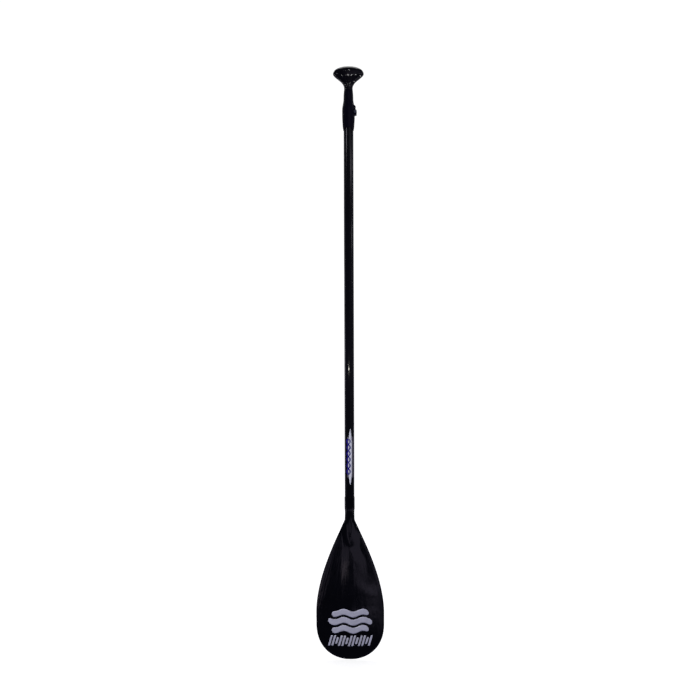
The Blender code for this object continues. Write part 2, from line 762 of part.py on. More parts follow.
def main():
    clear_scene()
    blade_plastic = material("blade_plastic", (0.010, 0.010, 0.014), 0.28)
    shaft_gloss = material("shaft_gloss", (0.008, 0.008, 0.012), 0.15)
    collar_plastic = material("collar_plastic", (0.012, 0.012, 0.020), 0.45)
    grip_plastic = material("grip_plastic", (0.008, 0.008, 0.009), 0.22)
    inner_tube = material("inner_tube", (0.020, 0.020, 0.022), 0.30, 0.9)
    steel = material("steel", (0.62, 0.62, 0.64), 0.30, 1.0)
    foam = material("foam", (0.75, 0.75, 0.72), 0.90)
    rubber = material("rubber", (0.02, 0.02, 0.02), 0.70)
    bush = material("bush", (0.03, 0.03, 0.035), 0.50)

    blade(blade_plastic)
    blade_rivet(steel)
    main_shaft(shaft_gloss)
    shaft_foam_plug(foam)
    clamp_collar(collar_plastic)
    collar_screw(steel)
    key_ring(bush)
    clamp_bolt(steel)
    bolt_washer(steel)
    cam_saddle(steel)
    barrel_pin(steel)
    clamp_lever(collar_plastic)
    handle_tube(inner_tube)
    tube_guide_plug(bush)
    tube_o_ring(rubber)
    tube_foam_plug(foam)
    grip_core(bush)
    grip_pin(steel)
    hollow = cutter("cut_grip_hollow", grip_body(GRIP_WALL, 24))
    grip_shell("grip_front_shell", -1, hollow, grip_plastic)
    grip_shell("grip_rear_shell", 1, hollow, grip_plastic)


main()
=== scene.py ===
from math import asin, copysign, cos, exp, pi, radians, sin, sqrt, tan

import bmesh
import bpy
import numpy as np
from mathutils import Matrix, Vector


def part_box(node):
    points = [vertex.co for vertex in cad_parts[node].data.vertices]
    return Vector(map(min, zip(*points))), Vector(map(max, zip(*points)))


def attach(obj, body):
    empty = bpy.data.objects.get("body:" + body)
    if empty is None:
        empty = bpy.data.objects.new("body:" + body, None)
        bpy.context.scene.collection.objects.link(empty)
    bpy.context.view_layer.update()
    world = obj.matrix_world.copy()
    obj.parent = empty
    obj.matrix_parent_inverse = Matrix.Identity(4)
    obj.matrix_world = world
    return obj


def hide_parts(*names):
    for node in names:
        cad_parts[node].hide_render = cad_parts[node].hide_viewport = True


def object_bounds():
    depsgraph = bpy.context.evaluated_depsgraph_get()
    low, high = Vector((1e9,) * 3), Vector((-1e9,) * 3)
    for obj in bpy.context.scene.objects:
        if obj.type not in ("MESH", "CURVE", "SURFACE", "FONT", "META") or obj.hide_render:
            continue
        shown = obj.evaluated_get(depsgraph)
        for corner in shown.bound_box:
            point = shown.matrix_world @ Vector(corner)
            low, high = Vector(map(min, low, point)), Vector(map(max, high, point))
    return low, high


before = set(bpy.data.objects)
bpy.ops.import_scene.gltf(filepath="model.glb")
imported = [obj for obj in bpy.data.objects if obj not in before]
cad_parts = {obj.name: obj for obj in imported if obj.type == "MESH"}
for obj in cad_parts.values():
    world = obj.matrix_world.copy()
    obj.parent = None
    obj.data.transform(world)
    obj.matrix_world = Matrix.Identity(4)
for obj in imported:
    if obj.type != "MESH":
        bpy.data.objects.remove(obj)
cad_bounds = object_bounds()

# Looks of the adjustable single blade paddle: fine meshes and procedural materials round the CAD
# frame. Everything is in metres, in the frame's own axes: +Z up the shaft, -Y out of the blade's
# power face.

MM = 0.001
WELD_DISTANCE = 0.01 * MM
SHAFT_LOW, SHAFT_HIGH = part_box("main_shaft")
SHAFT_RADIUS = SHAFT_HIGH.x
SHAFT_BORE = 13.2 * MM
COLLAR_LOW, COLLAR_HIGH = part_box("clamp_collar")
GRIP_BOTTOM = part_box("grip_front_shell")[0].z
TUBE_LOW, TUBE_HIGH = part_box("handle_tube")
LEVER_LOW, LEVER_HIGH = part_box("clamp_lever")
PIN_LOW, PIN_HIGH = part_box("barrel_pin")
PIN_AXIS = (PIN_LOW + PIN_HIGH) / 2
BLADE_HALF_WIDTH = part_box("blade")[1].x


# ---------------- mesh helpers


def mixed(first, second, share):
    return first + (second - first) * share


def smooth_step(value):
    value = min(max(value, 0.0), 1.0)
    return value * value * (3 - 2 * value)


def spread(first, last, count):
    return [mixed(first, last, step / (count - 1)) for step in range(count)]


def polar(radius, angle):
    return radius * cos(angle), radius * sin(angle)


def add_object(name, data):
    obj = bpy.data.objects.new(name, data)
    bpy.context.scene.collection.objects.link(obj)
    return obj


def finish_mesh(name, builder, body, material=None, replaced=(), sharp=32):
    """Turns a bmesh into a smooth-shaded piece that rides on a body and stands for CAD nodes."""
    bmesh.ops.recalc_face_normals(builder, faces=builder.faces)
    mesh = bpy.data.meshes.new(name)
    builder.to_mesh(mesh)
    builder.free()
    mesh.shade_smooth()
    mesh.set_sharp_from_angle(angle=radians(sharp))
    obj = add_object(name, mesh)
    if body:
        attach(obj, body)
    if replaced:
        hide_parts(*replaced)
    if material:
        mesh.materials.append(material)
    return obj


def bridge(builder, low, high):
    """Faces between two rings of points, or between a ring and a single pole."""
    count = max(len(low), len(high))
    for step in range(count):
        after = (step + 1) % count
        corners = [
            low[step % len(low)], low[after % len(low)],
            high[after % len(high)], high[step % len(high)],
        ]
        builder.faces.new(list(dict.fromkeys(corners)))


def loft(rings, closed=False):
    """A bmesh skin over rings of 3-D points, closed into a loop or capped at both ends."""
    builder = bmesh.new()
    made = [[builder.verts.new(point) for point in ring] for ring in rings]
    for low, high in zip(made, made[1:]):
        bridge(builder, low, high)
    if closed:
        bridge(builder, made[-1], made[0])
    else:
        for ring in (made[0], made[-1]):
            if len(ring) > 2:
                builder.faces.new(ring)
    return builder


def turned(profile, steps=96, centre=(0, 0)):
    """A bmesh turned about a vertical axis from (radius, z) points."""
    rings = []
    for radius, z in profile:
        angles = spread(0, 2 * pi, steps + 1)[:-1] if radius else [0]
        circle = [polar(radius, angle) for angle in angles]
        rings.append([(centre[0] + x, centre[1] + y, z) for x, y in circle])
    return loft(rings, closed=profile[0][0] != 0)


def round_cutter(radius, low, high, steps, centre):
    """An upright rod that cuts a hole or a groove."""
    return turned([(0, low), (radius, low), (radius, high), (0, high)], steps, centre)


def inset(outline, amount):
    """The outline moved inwards by an amount, point by point along its own normals."""
    count = len(outline)
    area = sum(a[0] * b[1] - b[0] * a[1] for a, b in zip(outline, outline[1:] + outline[:1]))
    moved = []
    for index, (x, y) in enumerate(outline):
        before, after = outline[index - 1], outline[(index + 1) % count]
        chord = Vector((after[0] - before[0], after[1] - before[1]))
        way = chord.normalized() * copysign(amount, area)
        moved.append((x - way.y, y + way.x))
    return moved


def rounded_prism(outline, low, high, radius, steps=4):
    """A prism with rounded rims, from a closed outline in the XY plane."""
    bends = [pi / 2 * step / steps for step in range(steps + 1)]
    sides = [(radius * (1 - sin(bend)), radius * (1 - cos(bend))) for bend in bends]
    levels = [(amount, low + rise) for amount, rise in sides]
    levels += [(amount, high - rise) for amount, rise in reversed(sides)]
    return loft([[(x, y, z) for x, y in inset(outline, amount)] for amount, z in levels])


def block(low, high):
    """A plain box between two corners, which cuts slots and pockets."""
    centre = [(a + b) / 2 for a, b in zip(low, high)]
    size = [b - a for a, b in zip(low, high)]
    place = Matrix.Translation(centre) @ Matrix.Diagonal((*size, 1))
    builder = bmesh.new()
    bmesh.ops.create_cube(builder, size=1, matrix=place)
    return builder


def cross_rod(centre, radius, length, steps=32):
    """A plain rod along Y, which cuts holes or is joined on as a boss."""
    place = Matrix.Translation(centre) @ Matrix.Rotation(pi / 2, 4, "X")
    builder = bmesh.new()
    bmesh.ops.create_cone(
        builder, cap_ends=True, segments=steps, radius1=radius, radius2=radius, depth=length,
        matrix=place,
    )
    return builder


def carve(builder, steps):
    """Unions and differences on a bmesh, in order. steps holds (operation, bmesh) pairs."""
    base = finish_mesh("carve_base", builder, None)
    tools = []
    for operation, tool_builder in steps:
        tool = finish_mesh("carve_tool", tool_builder, None)
        modifier = base.modifiers.new("carve", "BOOLEAN")
        modifier.operation = operation
        modifier.solver = "EXACT"
        modifier.object = tool
        tools.append(tool)
    graph = bpy.context.evaluated_depsgraph_get()
    result = bmesh.new()
    result.from_mesh(base.evaluated_get(graph).to_mesh())
    for obj in [base, *tools]:
        bpy.data.objects.remove(obj, do_unlink=True)
    bmesh.ops.remove_doubles(result, verts=result.verts, dist=WELD_DISTANCE)
    bmesh.ops.dissolve_degenerate(result, dist=WELD_DISTANCE, edges=result.edges)
    return result


def soften(obj, width):
    """Rounds a piece's sharp edges."""
    modifier = obj.modifiers.new("edges", "BEVEL")
    modifier.width = width
    modifier.segments = 2
    modifier.limit_method = "ANGLE"
    modifier.angle_limit = radians(40)
    modifier.harden_normals = True
    return obj


def spline(points, share):
    """A smooth curve through points that are evenly spaced in share, from 0 to 1 (Catmull-Rom)."""
    spans = len(points) - 1
    place = min(max(share, 0), 1) * spans
    index = min(int(place), spans - 1)
    local = place - index
    near = [min(max(index + offset, 0), spans) for offset in (-1, 0, 1, 2)]
    before, first, second, after = (np.array(points[spot], float) for spot in near)
    return 0.5 * (
        2 * first
        + (second - before) * local
        + (2 * before - 5 * first + 4 * second - after) * local**2
        + (3 * first - before - 3 * second + after) * local**3
    )


# ---------------- materials

RANGE_SOCKETS = ("From Min", "From Max", "To Min", "To Max")
# A colour Mix node's sockets, by number: the share and the two colours, then the result.
MIX_INPUTS = (0, 6, 7)
MIX_RESULT = 2


class Nodes:
    """A small helper to write a Principled material as a list of steps."""

    def __init__(self, name, colour, roughness, metallic=0.0, **extra):
        self.material = bpy.data.materials.new(name)
        self.material.use_nodes = True
        self.tree = self.material.node_tree
        self.shader = self.tree.nodes["Principled BSDF"]
        self.shader.inputs["Base Color"].default_value = (*colour, 1)
        self.shader.inputs["Roughness"].default_value = roughness
        self.shader.inputs["Metallic"].default_value = metallic
        for socket, value in extra.items():
            self.shader.inputs[socket.replace("_", " ")].default_value = value
        self.place = self.tree.nodes.new("ShaderNodeTexCoord").outputs["Object"]

    def node(self, kind, **values):
        made = self.tree.nodes.new(kind)
        for key, value in values.items():
            if key in made.inputs:
                made.inputs[key].default_value = value
            else:
                setattr(made, key, value)
        return made

    def link(self, output, target):
        self.tree.links.new(output, target)

    def scaled(self, scale):
        mapping = self.node("ShaderNodeMapping")
        mapping.inputs["Scale"].default_value = scale
        self.link(self.place, mapping.inputs["Vector"])
        return mapping.outputs["Vector"]

    def noise(self, scale, detail=4, stretch=(1, 1, 1)):
        made = self.node("ShaderNodeTexNoise", Scale=scale, Detail=detail, Roughness=0.55)
        self.link(self.scaled(stretch), made.inputs["Vector"])
        return made.outputs["Fac"]

    def cells(self, scale, feature="F1"):
        made = self.node("ShaderNodeTexVoronoi", Scale=scale, feature=feature)
        self.link(self.place, made.inputs["Vector"])
        return made.outputs["Distance"]

    def ramp(self, value, *stops):
        """A ramp between two (position, colour) stops."""
        made = self.node("ShaderNodeValToRGB")
        for element, (position, colour) in zip(made.color_ramp.elements, stops):
            element.position = position
            element.color = (*colour, 1)
        self.link(value, made.inputs["Fac"])
        return made.outputs["Color"]

    def remap(self, value, low, high, first=0.0, last=1.0):
        made = self.node("ShaderNodeMapRange")
        for socket, number in zip(RANGE_SOCKETS, (low, high, first, last)):
            made.inputs[socket].default_value = number
        self.link(value, made.inputs["Value"])
        return made.outputs["Result"]

    def maths(self, operation, first, second):
        made = self.node("ShaderNodeMath", operation=operation)
        for socket, value in zip(made.inputs, (first, second)):
            if isinstance(value, (int, float)):
                socket.default_value = value
            else:
                self.link(value, socket)
        return made.outputs["Value"]

    def blend(self, share, first, second):
        """A colour mix. Each of first and second is an output or a colour."""
        made = self.node("ShaderNodeMix", data_type="RGBA")
        for number, value in zip(MIX_INPUTS, (share, first, second)):
            socket = made.inputs[number]
            if isinstance(value, bpy.types.NodeSocket):
                self.link(value, socket)
            else:
                socket.default_value = value if isinstance(value, float) else (*value, 1)
        return made.outputs[MIX_RESULT]

    def bump(self, height, strength, distance, before=None):
        made = self.node("ShaderNodeBump", Strength=strength, Distance=distance)
        self.link(height, made.inputs["Height"])
        if before:
            self.link(before, made.inputs["Normal"])
        return made.outputs["Normal"]

    def attribute(self, name):
        return self.node("ShaderNodeAttribute", attribute_name=name).outputs["Fac"]

    def toned(self, tone, stops, wear, rough, grain=None, bump=()):
        """Colour from the tone, roughness from the wear and bumps from the grain."""
        normal = self.bump(grain, *bump) if bump else None
        return self.done(self.ramp(tone, *stops), self.remap(wear, *rough), normal)

    def done(self, colour, roughness, normal=None):
        self.link(colour, self.shader.inputs["Base Color"])
        self.link(roughness, self.shader.inputs["Roughness"])
        if normal:
            self.link(normal, self.shader.inputs["Normal"])
        return self.material


def scratches(make, scale, stretch, low=0.62):
    """Sparse hairlines: a stretched noise cut by another, from 0 to 1."""
    lines = make.remap(make.noise(scale, 2, stretch), low, low + 0.05)
    gate = make.remap(make.noise(scale * 0.05, 2), 0.5, 0.65)
    return make.maths("MULTIPLY", lines, gate)


FLOW_ORIGIN_Z = -0.56
FLOW_FADE = (0.06, 0.12)


def radial_flow(make, scale):
    """Streaks that fan out below the neck, where the melt enters the mould."""
    split = make.node("ShaderNodeSeparateXYZ")
    make.link(make.place, split.inputs[0])
    down = make.maths("SUBTRACT", FLOW_ORIGIN_Z, split.outputs["Z"])
    angle = make.maths("ARCTAN2", split.outputs["X"], down)
    joined = make.node("ShaderNodeCombineXYZ")
    make.link(angle, joined.inputs["X"])
    make.link(make.maths("MULTIPLY", down, 0.10), joined.inputs["Z"])
    make.link(make.maths("MULTIPLY", split.outputs["Y"], 0.6), joined.inputs["Y"])
    streaks = make.node("ShaderNodeTexNoise", Scale=scale, Detail=3)
    make.link(joined.outputs[0], streaks.inputs["Vector"])
    return make.maths("MULTIPLY", streaks.outputs["Fac"], make.remap(down, *FLOW_FADE))


def blade_material():
    make = Nodes("blade_moulded_black", (0.006, 0.006, 0.008), 0.2)
    smudge = make.noise(14, 5)
    marks = scratches(make, 900, (1, 1, 0.03))
    rim = make.attribute("rim")
    chips = make.maths("MULTIPLY", rim, make.remap(make.noise(420, 4), 0.46, 0.60))
    colour = make.ramp(smudge, (0.3, (0.0045, 0.0044, 0.0064)), (0.75, (0.0078, 0.0074, 0.0108)))
    colour = make.blend(make.maths("MULTIPLY", chips, 0.6), colour, (0.045, 0.045, 0.052))
    rough = make.remap(smudge, 0.35, 0.7, 0.07, 0.13)
    rough = make.maths("ADD", rough, make.maths("MULTIPLY", marks, 0.18))
    rough = make.maths("ADD", rough, make.maths("MULTIPLY", chips, 0.3))
    normal = make.bump(radial_flow(make, 24), 1.0, 0.00032)
    normal = make.bump(radial_flow(make, 90), 1.0, 0.00015, normal)
    normal = make.bump(make.noise(26, 3), 0.35, 0.0006, normal)
    normal = make.bump(make.noise(1400, 2), 0.05, 0.0002, normal)
    normal = make.bump(marks, 0.08, -0.0001, normal)
    return make.done(colour, rough, normal)


def enamel_material():
    make = Nodes("shaft_gloss_enamel", (0.006, 0.0056, 0.0095), 0.14)
    tone = make.noise(9, 3, (1, 1, 0.15))
    marks = scratches(make, 1500, (1, 1, 0.04), 0.60)
    colour = make.ramp(tone, (0.3, (0.0040, 0.0037, 0.0070)), (0.75, (0.0072, 0.0066, 0.0118)))
    rough = make.remap(tone, 0.3, 0.7, 0.10, 0.17)
    rough = make.maths("ADD", rough, make.maths("MULTIPLY", marks, 0.08))
    return make.done(colour, rough, make.bump(make.noise(120, 2), 0.02, 0.0004))


def collar_material():
    make = Nodes("collar_matte_nylon", (0.0080, 0.0062, 0.0200), 0.5, Specular_IOR_Level=0.16)
    smudge = make.noise(55, 4)
    stops = (0.3, (0.0062, 0.0048, 0.0160)), (0.75, (0.0100, 0.0078, 0.0250))
    rough = (0.3, 0.7, 0.45, 0.58)
    return make.toned(smudge, stops, smudge, rough, make.noise(2600, 3), (0.18, 0.00015))


def grip_material():
    make = Nodes("grip_pebbled_gloss", (0.0070, 0.0062, 0.0090), 0.2)
    pebbles = make.cells(520, "SMOOTH_F1")
    smudge = make.noise(60, 4)
    stops = (0.3, (0.0050, 0.0043, 0.0068)), (0.75, (0.0095, 0.0082, 0.0125))
    return make.toned(smudge, stops, smudge, (0.3, 0.75, 0.07, 0.14), pebbles, (0.5, 0.00003))


def anodised_material():
    make = Nodes("tube_black_anodised", (0.030, 0.030, 0.034), 0.3, 0.85)
    drawn = make.noise(2600, 2, (1, 1, 0.004))
    tone = make.noise(22, 3, (1, 1, 0.2))
    stops = (0.3, (0.024, 0.024, 0.028)), (0.75, (0.040, 0.040, 0.045))
    return make.toned(tone, stops, drawn, (0.3, 0.7, 0.24, 0.38), drawn, (0.06, 0.0002))


def steel_material():
    make = Nodes("stainless_turned", (0.60, 0.60, 0.62), 0.28, 1.0)
    marks = make.noise(2200, 2, (1, 0.06, 1))
    stops = (0.3, (0.50, 0.50, 0.52)), (0.7, (0.68, 0.68, 0.69))
    rough = (0.3, 0.7, 0.20, 0.40)
    return make.toned(make.noise(260, 3), stops, marks, rough, marks, (0.06, 0.0001))


def nylon_material():
    make = Nodes("bush_nylon", (0.030, 0.030, 0.034), 0.5)
    tone = make.noise(180, 4)
    stops = (0.3, (0.024, 0.024, 0.028)), (0.7, (0.038, 0.038, 0.042))
    rough = (0.3, 0.7, 0.44, 0.58)
    return make.toned(tone, stops, tone, rough, make.noise(1800, 2), (0.1, 0.0001))


def foam_material():
    make = Nodes("closed_cell_foam", (0.74, 0.74, 0.71), 0.9)
    pores = make.cells(900)
    stops = (0.0, (0.60, 0.60, 0.57)), (0.5, (0.78, 0.78, 0.75))
    return make.toned(pores, stops, pores, (0, 0.6, 0.95, 0.80), pores, (0.4, 0.0004))


def rubber_material():
    make = Nodes("o_ring_rubber", (0.018, 0.018, 0.018), 0.7)
    tone = make.noise(300, 3)
    return make.toned(tone, ((0.3, (0.014,) * 3), (0.7, (0.024,) * 3)), tone, (0.3, 0.7, 0.6, 0.78))


def ink_material(name, colour, worn=0.35, specular=0.5):
    """Screen-printed ink: nearly even, with fine pinholes and faint scuffs that darken it."""
    make = Nodes(name, colour, 0.35, Specular_IOR_Level=specular)
    scuff = make.maths("MULTIPLY", scratches(make, 700, (1, 1, 0.06), 0.60), worn)
    speck = make.maths("MULTIPLY", make.remap(make.noise(1500, 2), 0.70, 0.78), worn)
    cloud = make.noise(45, 4)
    clouded, scuffed = (tuple(channel * share for channel in colour) for share in (0.86, 0.35))
    tone = make.blend(make.remap(cloud, 0.35, 0.7), colour, clouded)
    tone = make.blend(make.maths("MAXIMUM", scuff, speck), tone, scuffed)
    rough = make.remap(cloud, 0.3, 0.7, 0.28, 0.42)
    return make.done(tone, rough, make.bump(cloud, 0.03, 0.0003))


# ---------------- blade

BLADE_RAKE = radians(8)
BLADE_LENGTH = 0.4612
# The mesh stops just short of the outline's tip, so that it stays inside the CAD blade's box.
BLADE_TIP = 0.4602
NECK_RADIUS = 14.5 * MM
SHOULDER_RADIUS = 15.4 * MM
SHOULDER_HEIGHT = 34 * MM
SPIGOT_HEIGHT = 60 * MM
WAIST_Z = -0.632
BEND_LENGTH = 0.10
BLADE_EDGE = 1.6 * MM
DIHEDRAL = radians(4)
CROWN = 1.2 * MM
EDGE_POWER = 6
SPINE_HEIGHT = 10.5 * MM
SPINE_LENGTH = 0.30
SPINE_POWER = 1.4
# Each flank of the ridge: its width at the waist, and how much it widens per metre down the blade.
LEFT_FLANK = (13 * MM, 0.07)
RIGHT_FLANK = (12 * MM, 0.17)
# The flat strip right of the ridge, and where it starts and ends down the blade.
RIGHT_FLAT = 10 * MM
RIGHT_FLAT_START, RIGHT_FLAT_RISE = 0.105, 0.04
RIGHT_FLAT_END, RIGHT_FLAT_FALL = 0.30, 0.08
# How softly the ridge is rounded at the neck and further down.
RIDGE_SOFT_NECK, RIDGE_SOFT = 4 * MM, 0.8 * MM
RIDGE_START, RIDGE_RISE = 0.050, 0.055
# The back's rib: its width, and its height as a share of the front spine's.
BACK_RIB_WIDTH = 16 * MM
BACK_RIB_SHARE = 1.15
FACET_HALF = 9 * MM
FACET_END = 0.100
# From the waist, the round neck turns into the blade's section over this length.
NECK_BLEND = 0.055
LEAST_HALF_WIDTH = 4 * MM
RIM_WIDTH = 5 * MM


def bezier(points, share):
    rest = 1 - share
    weights = (rest**3, 3 * rest**2 * share, 3 * rest * share**2, share**3)
    return [sum(w * p[axis] for w, p in zip(weights, points)) for axis in (0, 1)]


def blade_half_width(along):
    """Half the blade's width at a distance from the waist: a flaring side, then a round tip."""
    side_start, side_end, round_start = 0.019, 0.316, 0.348
    throat_half = 0.0150
    if along <= side_start:
        return mixed(NECK_RADIUS, throat_half, along / side_start)
    if along < side_end:
        points = (
            (side_start, throat_half), (0.094, 0.0488),
            (0.209, BLADE_HALF_WIDTH), (side_end, BLADE_HALF_WIDTH),
        )
        low, high = 0.0, 1.0
        for _ in range(30):
            middle = (low + high) / 2
            if bezier(points, middle)[0] < along:
                low = middle
            else:
                high = middle
        return bezier(points, low)[1]
    share = max(along - round_start, 0) / (BLADE_LENGTH - round_start)
    power = 2.25
    return BLADE_HALF_WIDTH * max(1 - share**power, 0) ** (1 / power)


def blade_centre(along, steps=60):
    """(y, z, lean) of the blade's centre line, which bends from the shaft's axis to the rake."""
    y, z = 0.0, WAIST_Z
    for step in range(steps):
        lean = BLADE_RAKE * smooth_step(along * (step + 0.5) / steps / BEND_LENGTH)
        y += sin(lean) * along / steps
        z -= cos(lean) * along / steps
    return y, z, BLADE_RAKE * smooth_step(along / BEND_LENGTH)


def throat_notch(across, along):
    """A small three-sided dimple where the spine's ridge leaves the round neck."""
    top, bottom, half, middle = 0.056, 0.067, 4.5 * MM, 0.5 * MM
    depth, soft = 0.9 * MM, 1.6 * MM
    share = (along - top) / (bottom - top)
    if not 0 < share < 1:
        return 0.0
    side = smooth_step((half * share - abs(across - middle)) / soft + 0.5)
    return depth * side * smooth_step(share * 4) * smooth_step((1 - share) * 5)


def face_depths(across, along, half_width):
    """How far the front and back faces stand from the centre line."""
    share = min(abs(across) / half_width, 1.0)
    edge = BLADE_EDGE * sqrt(max(1 - share**EDGE_POWER, 0))
    spine = SPINE_HEIGHT * max(1 - along / SPINE_LENGTH, 0) ** SPINE_POWER
    flank_start, flank_growth = LEFT_FLANK if across < 0 else RIGHT_FLANK
    flank = flank_start + flank_growth * along
    flat = FACET_HALF * max(1 - along / FACET_END, 0)
    if across >= 0:
        rise = smooth_step((along - RIGHT_FLAT_START) / RIGHT_FLAT_RISE)
        flat += RIGHT_FLAT * rise * smooth_step((RIGHT_FLAT_END - along) / RIGHT_FLAT_FALL)
    ridge = smooth_step((along - RIDGE_START) / RIDGE_RISE)
    soft = mixed(RIDGE_SOFT_NECK, RIDGE_SOFT, ridge)
    past_flat = max(abs(across) - flat, 0.0)
    rounded = sqrt(past_flat**2 + soft**2) - soft
    wedge = spine * max(1 - rounded / flank, 0)
    rib = BACK_RIB_SHARE * spine * exp(-((across / BACK_RIB_WIDTH) ** 2))
    crown = CROWN * (1 - share**2)
    slope = rounded * tan(DIHEDRAL)
    round_part = NECK_RADIUS * sqrt(max(1 - share**2, 0))
    blend = smooth_step(along / NECK_BLEND)
    front = mixed(round_part, edge + wedge - slope - throat_notch(across, along), blend)
    back = mixed(round_part, edge + rib + crown + slope, blend)
    return front, back


def across_shares(half_count=30):
    """Shares of the half width from -1 to 1, closer together at the ridge and at the edges."""
    right = [sin(pi / 2 * (step / half_count) ** 1.25) for step in range(half_count + 1)]
    return [-share for share in right[:0:-1]] + right


def blade_point(across, along, lift):
    """A point on the blade's front face, lifted off it towards the front."""
    y, z, lean = blade_centre(along)
    half_width = max(blade_half_width(along), LEAST_HALF_WIDTH)
    front = face_depths(across, along, half_width)[0] + lift
    return Vector((across, y - cos(lean) * front, z - sin(lean) * front))


def neck_levels():
    """(radius, z) of the hidden spigot, the shoulder under the shaft's end and the neck."""
    top = SHAFT_LOW.z - 0.3 * MM
    bottom = top - SHOULDER_HEIGHT
    spigot = SHAFT_BORE - 0.3 * MM
    levels = [
        (spigot, top + SPIGOT_HEIGHT),
        (spigot, top),
        (SHOULDER_RADIUS - 0.7 * MM, top),
        (SHOULDER_RADIUS - 0.2 * MM, top - 0.25 * MM),
        (SHOULDER_RADIUS, top - 0.8 * MM),
        (SHOULDER_RADIUS, bottom),
    ]
    steps, step_height = 6, 1.2 * MM
    for step in range(1, steps + 1):
        radius = mixed(SHOULDER_RADIUS, NECK_RADIUS + 0.1 * MM, smooth_step(step / steps))
        levels.append((radius, bottom - step_height * step))
    return levels


def blade_ring(xs, depths, y, z, lean):
    """A closed ring of points, which runs along the front, then back along the rear."""
    out = Vector((0, -cos(lean), -sin(lean)))
    front = [Vector((x, y, z)) + out * depth[0] for x, depth in zip(xs, depths)]
    back = [Vector((x, y, z)) - out * depth[1] for x, depth in zip(xs, depths)]
    return front + back[-2:0:-1]


def blade_rings():
    """The rings of the spigot and the neck, then those of the blade down to its tip."""
    shares = across_shares()
    rings = []
    for radius, z in neck_levels():
        xs = [share * radius for share in shares]
        depths = [(sqrt(max(radius**2 - x**2, 0)),) * 2 for x in xs]
        rings.append(blade_ring(xs, depths, 0, z, 0))
    flare_end, tip_start, tip_steps = 0.110, 0.340, 40
    flare = spread(0.0, flare_end, 45)
    body = spread(flare_end, tip_start, 50)[1:]
    turns = [sin(pi / 2 * step / tip_steps) for step in range(1, tip_steps + 1)]
    tip = [mixed(tip_start, BLADE_TIP, turn) for turn in turns]
    for along in flare + body + tip:
        half_width = max(blade_half_width(along), LEAST_HALF_WIDTH)
        xs = [share * half_width for share in shares]
        depths = [face_depths(x, along, half_width) for x in xs]
        rings.append(blade_ring(xs, depths, *blade_centre(along)))
    return rings


def make_blade(material):
    """The blade with its neck. Its rim attribute is 1 at the edge, where the plastic is chipped."""
    skin = loft(blade_rings())
    obj = finish_mesh("blade_skin", skin, "main", material, ["blade"], sharp=50)
    rim = obj.data.attributes.new("rim", "FLOAT", "POINT")
    values = []
    for vertex in obj.data.vertices:
        along = (WAIST_Z - vertex.co.z) / cos(BLADE_RAKE)
        half_width = blade_half_width(min(along, BLADE_LENGTH)) if along > 0.05 else 1.0
        inside = min(half_width - abs(vertex.co.x), BLADE_LENGTH - along)
        values.append(1 - smooth_step(inside / RIM_WIDTH))
    rim.data.foreach_set("value", values)
    return obj


# ---------------- prints on the blade


def patch(point_at, columns, rows, edges):
    """A grid of points between two edge curves. edges(share) gives (across, low, high)."""
    grid = []
    for share in spread(0, 1, columns):
        across, low, high = edges(share)
        grid.append([point_at(across, along) for along in spread(low, high, rows)])
    return grid


def make_print(name, grids, body, material, thickness):
    """A thin printed layer: one skin over each grid of points, thickened outwards."""
    builder = bmesh.new()
    for grid in grids:
        made = [[builder.verts.new(point) for point in line] for line in grid]
        for low, high in zip(made, made[1:]):
            for step in range(len(low) - 1):
                builder.faces.new((low[step], low[step + 1], high[step + 1], high[step]))
    obj = finish_mesh(name, builder, body, material)
    modifier = obj.modifiers.new("ink", "SOLIDIFY")
    modifier.thickness = thickness
    modifier.offset = 1
    return obj


def on_blade(across, along):
    return blade_point(across, along, 0.06 * MM)


BLADE_INK = 0.08 * MM
EMBLEM = {"half": 67 * MM, "top": 0.2995, "bottom": 0.3775}
EMBLEM_WIDTHS = (0.84, 1.0, 0.84)
WAVE_HEIGHT = 4.2 * MM
WAVE_LENGTH = 58 * MM
WAVE_PHASE = 0.5
WAVE_THICKNESS = 9.4 * MM
STRIP = {"half": 66 * MM, "top": 0.3845, "bottom": 0.4185}
STRIP_BARS = 13
# Half a bar's width as a share of the pitch, and a short bar's height as a share of a tall one's.
BAR_HALF_SHARE, SHORT_BAR = 0.31, 0.62
BAR_SLANT = 0.28
BAR_CORNER = 1.2 * MM


def rounded_end(across, half, radius):
    """1 along a bar, falling to 0 on a round end."""
    over = max(abs(across) - (half - radius), 0) / radius
    return sqrt(max(1 - over**2, 0.0))


def make_emblem(material):
    """Three stacked waves with round ends, one above the other like ripples."""
    height = EMBLEM["bottom"] - EMBLEM["top"]
    grids = []
    for wave, width in enumerate(EMBLEM_WIDTHS):
        middle = EMBLEM["top"] + height * (wave + 0.5) / len(EMBLEM_WIDTHS)
        half = EMBLEM["half"] * width

        def edges(share, middle=middle, half=half):
            across = half * sin(pi / 2 * mixed(-1, 1, share))
            line = middle + WAVE_HEIGHT * sin(2 * pi * across / WAVE_LENGTH + WAVE_PHASE)
            thick = WAVE_THICKNESS * rounded_end(across, half, WAVE_THICKNESS) + 0.05 * MM
            return across, line - thick, line + thick

        grids.append(patch(on_blade, 121, 7, edges))
    return make_print("blade_emblem", grids, "main", material, BLADE_INK)


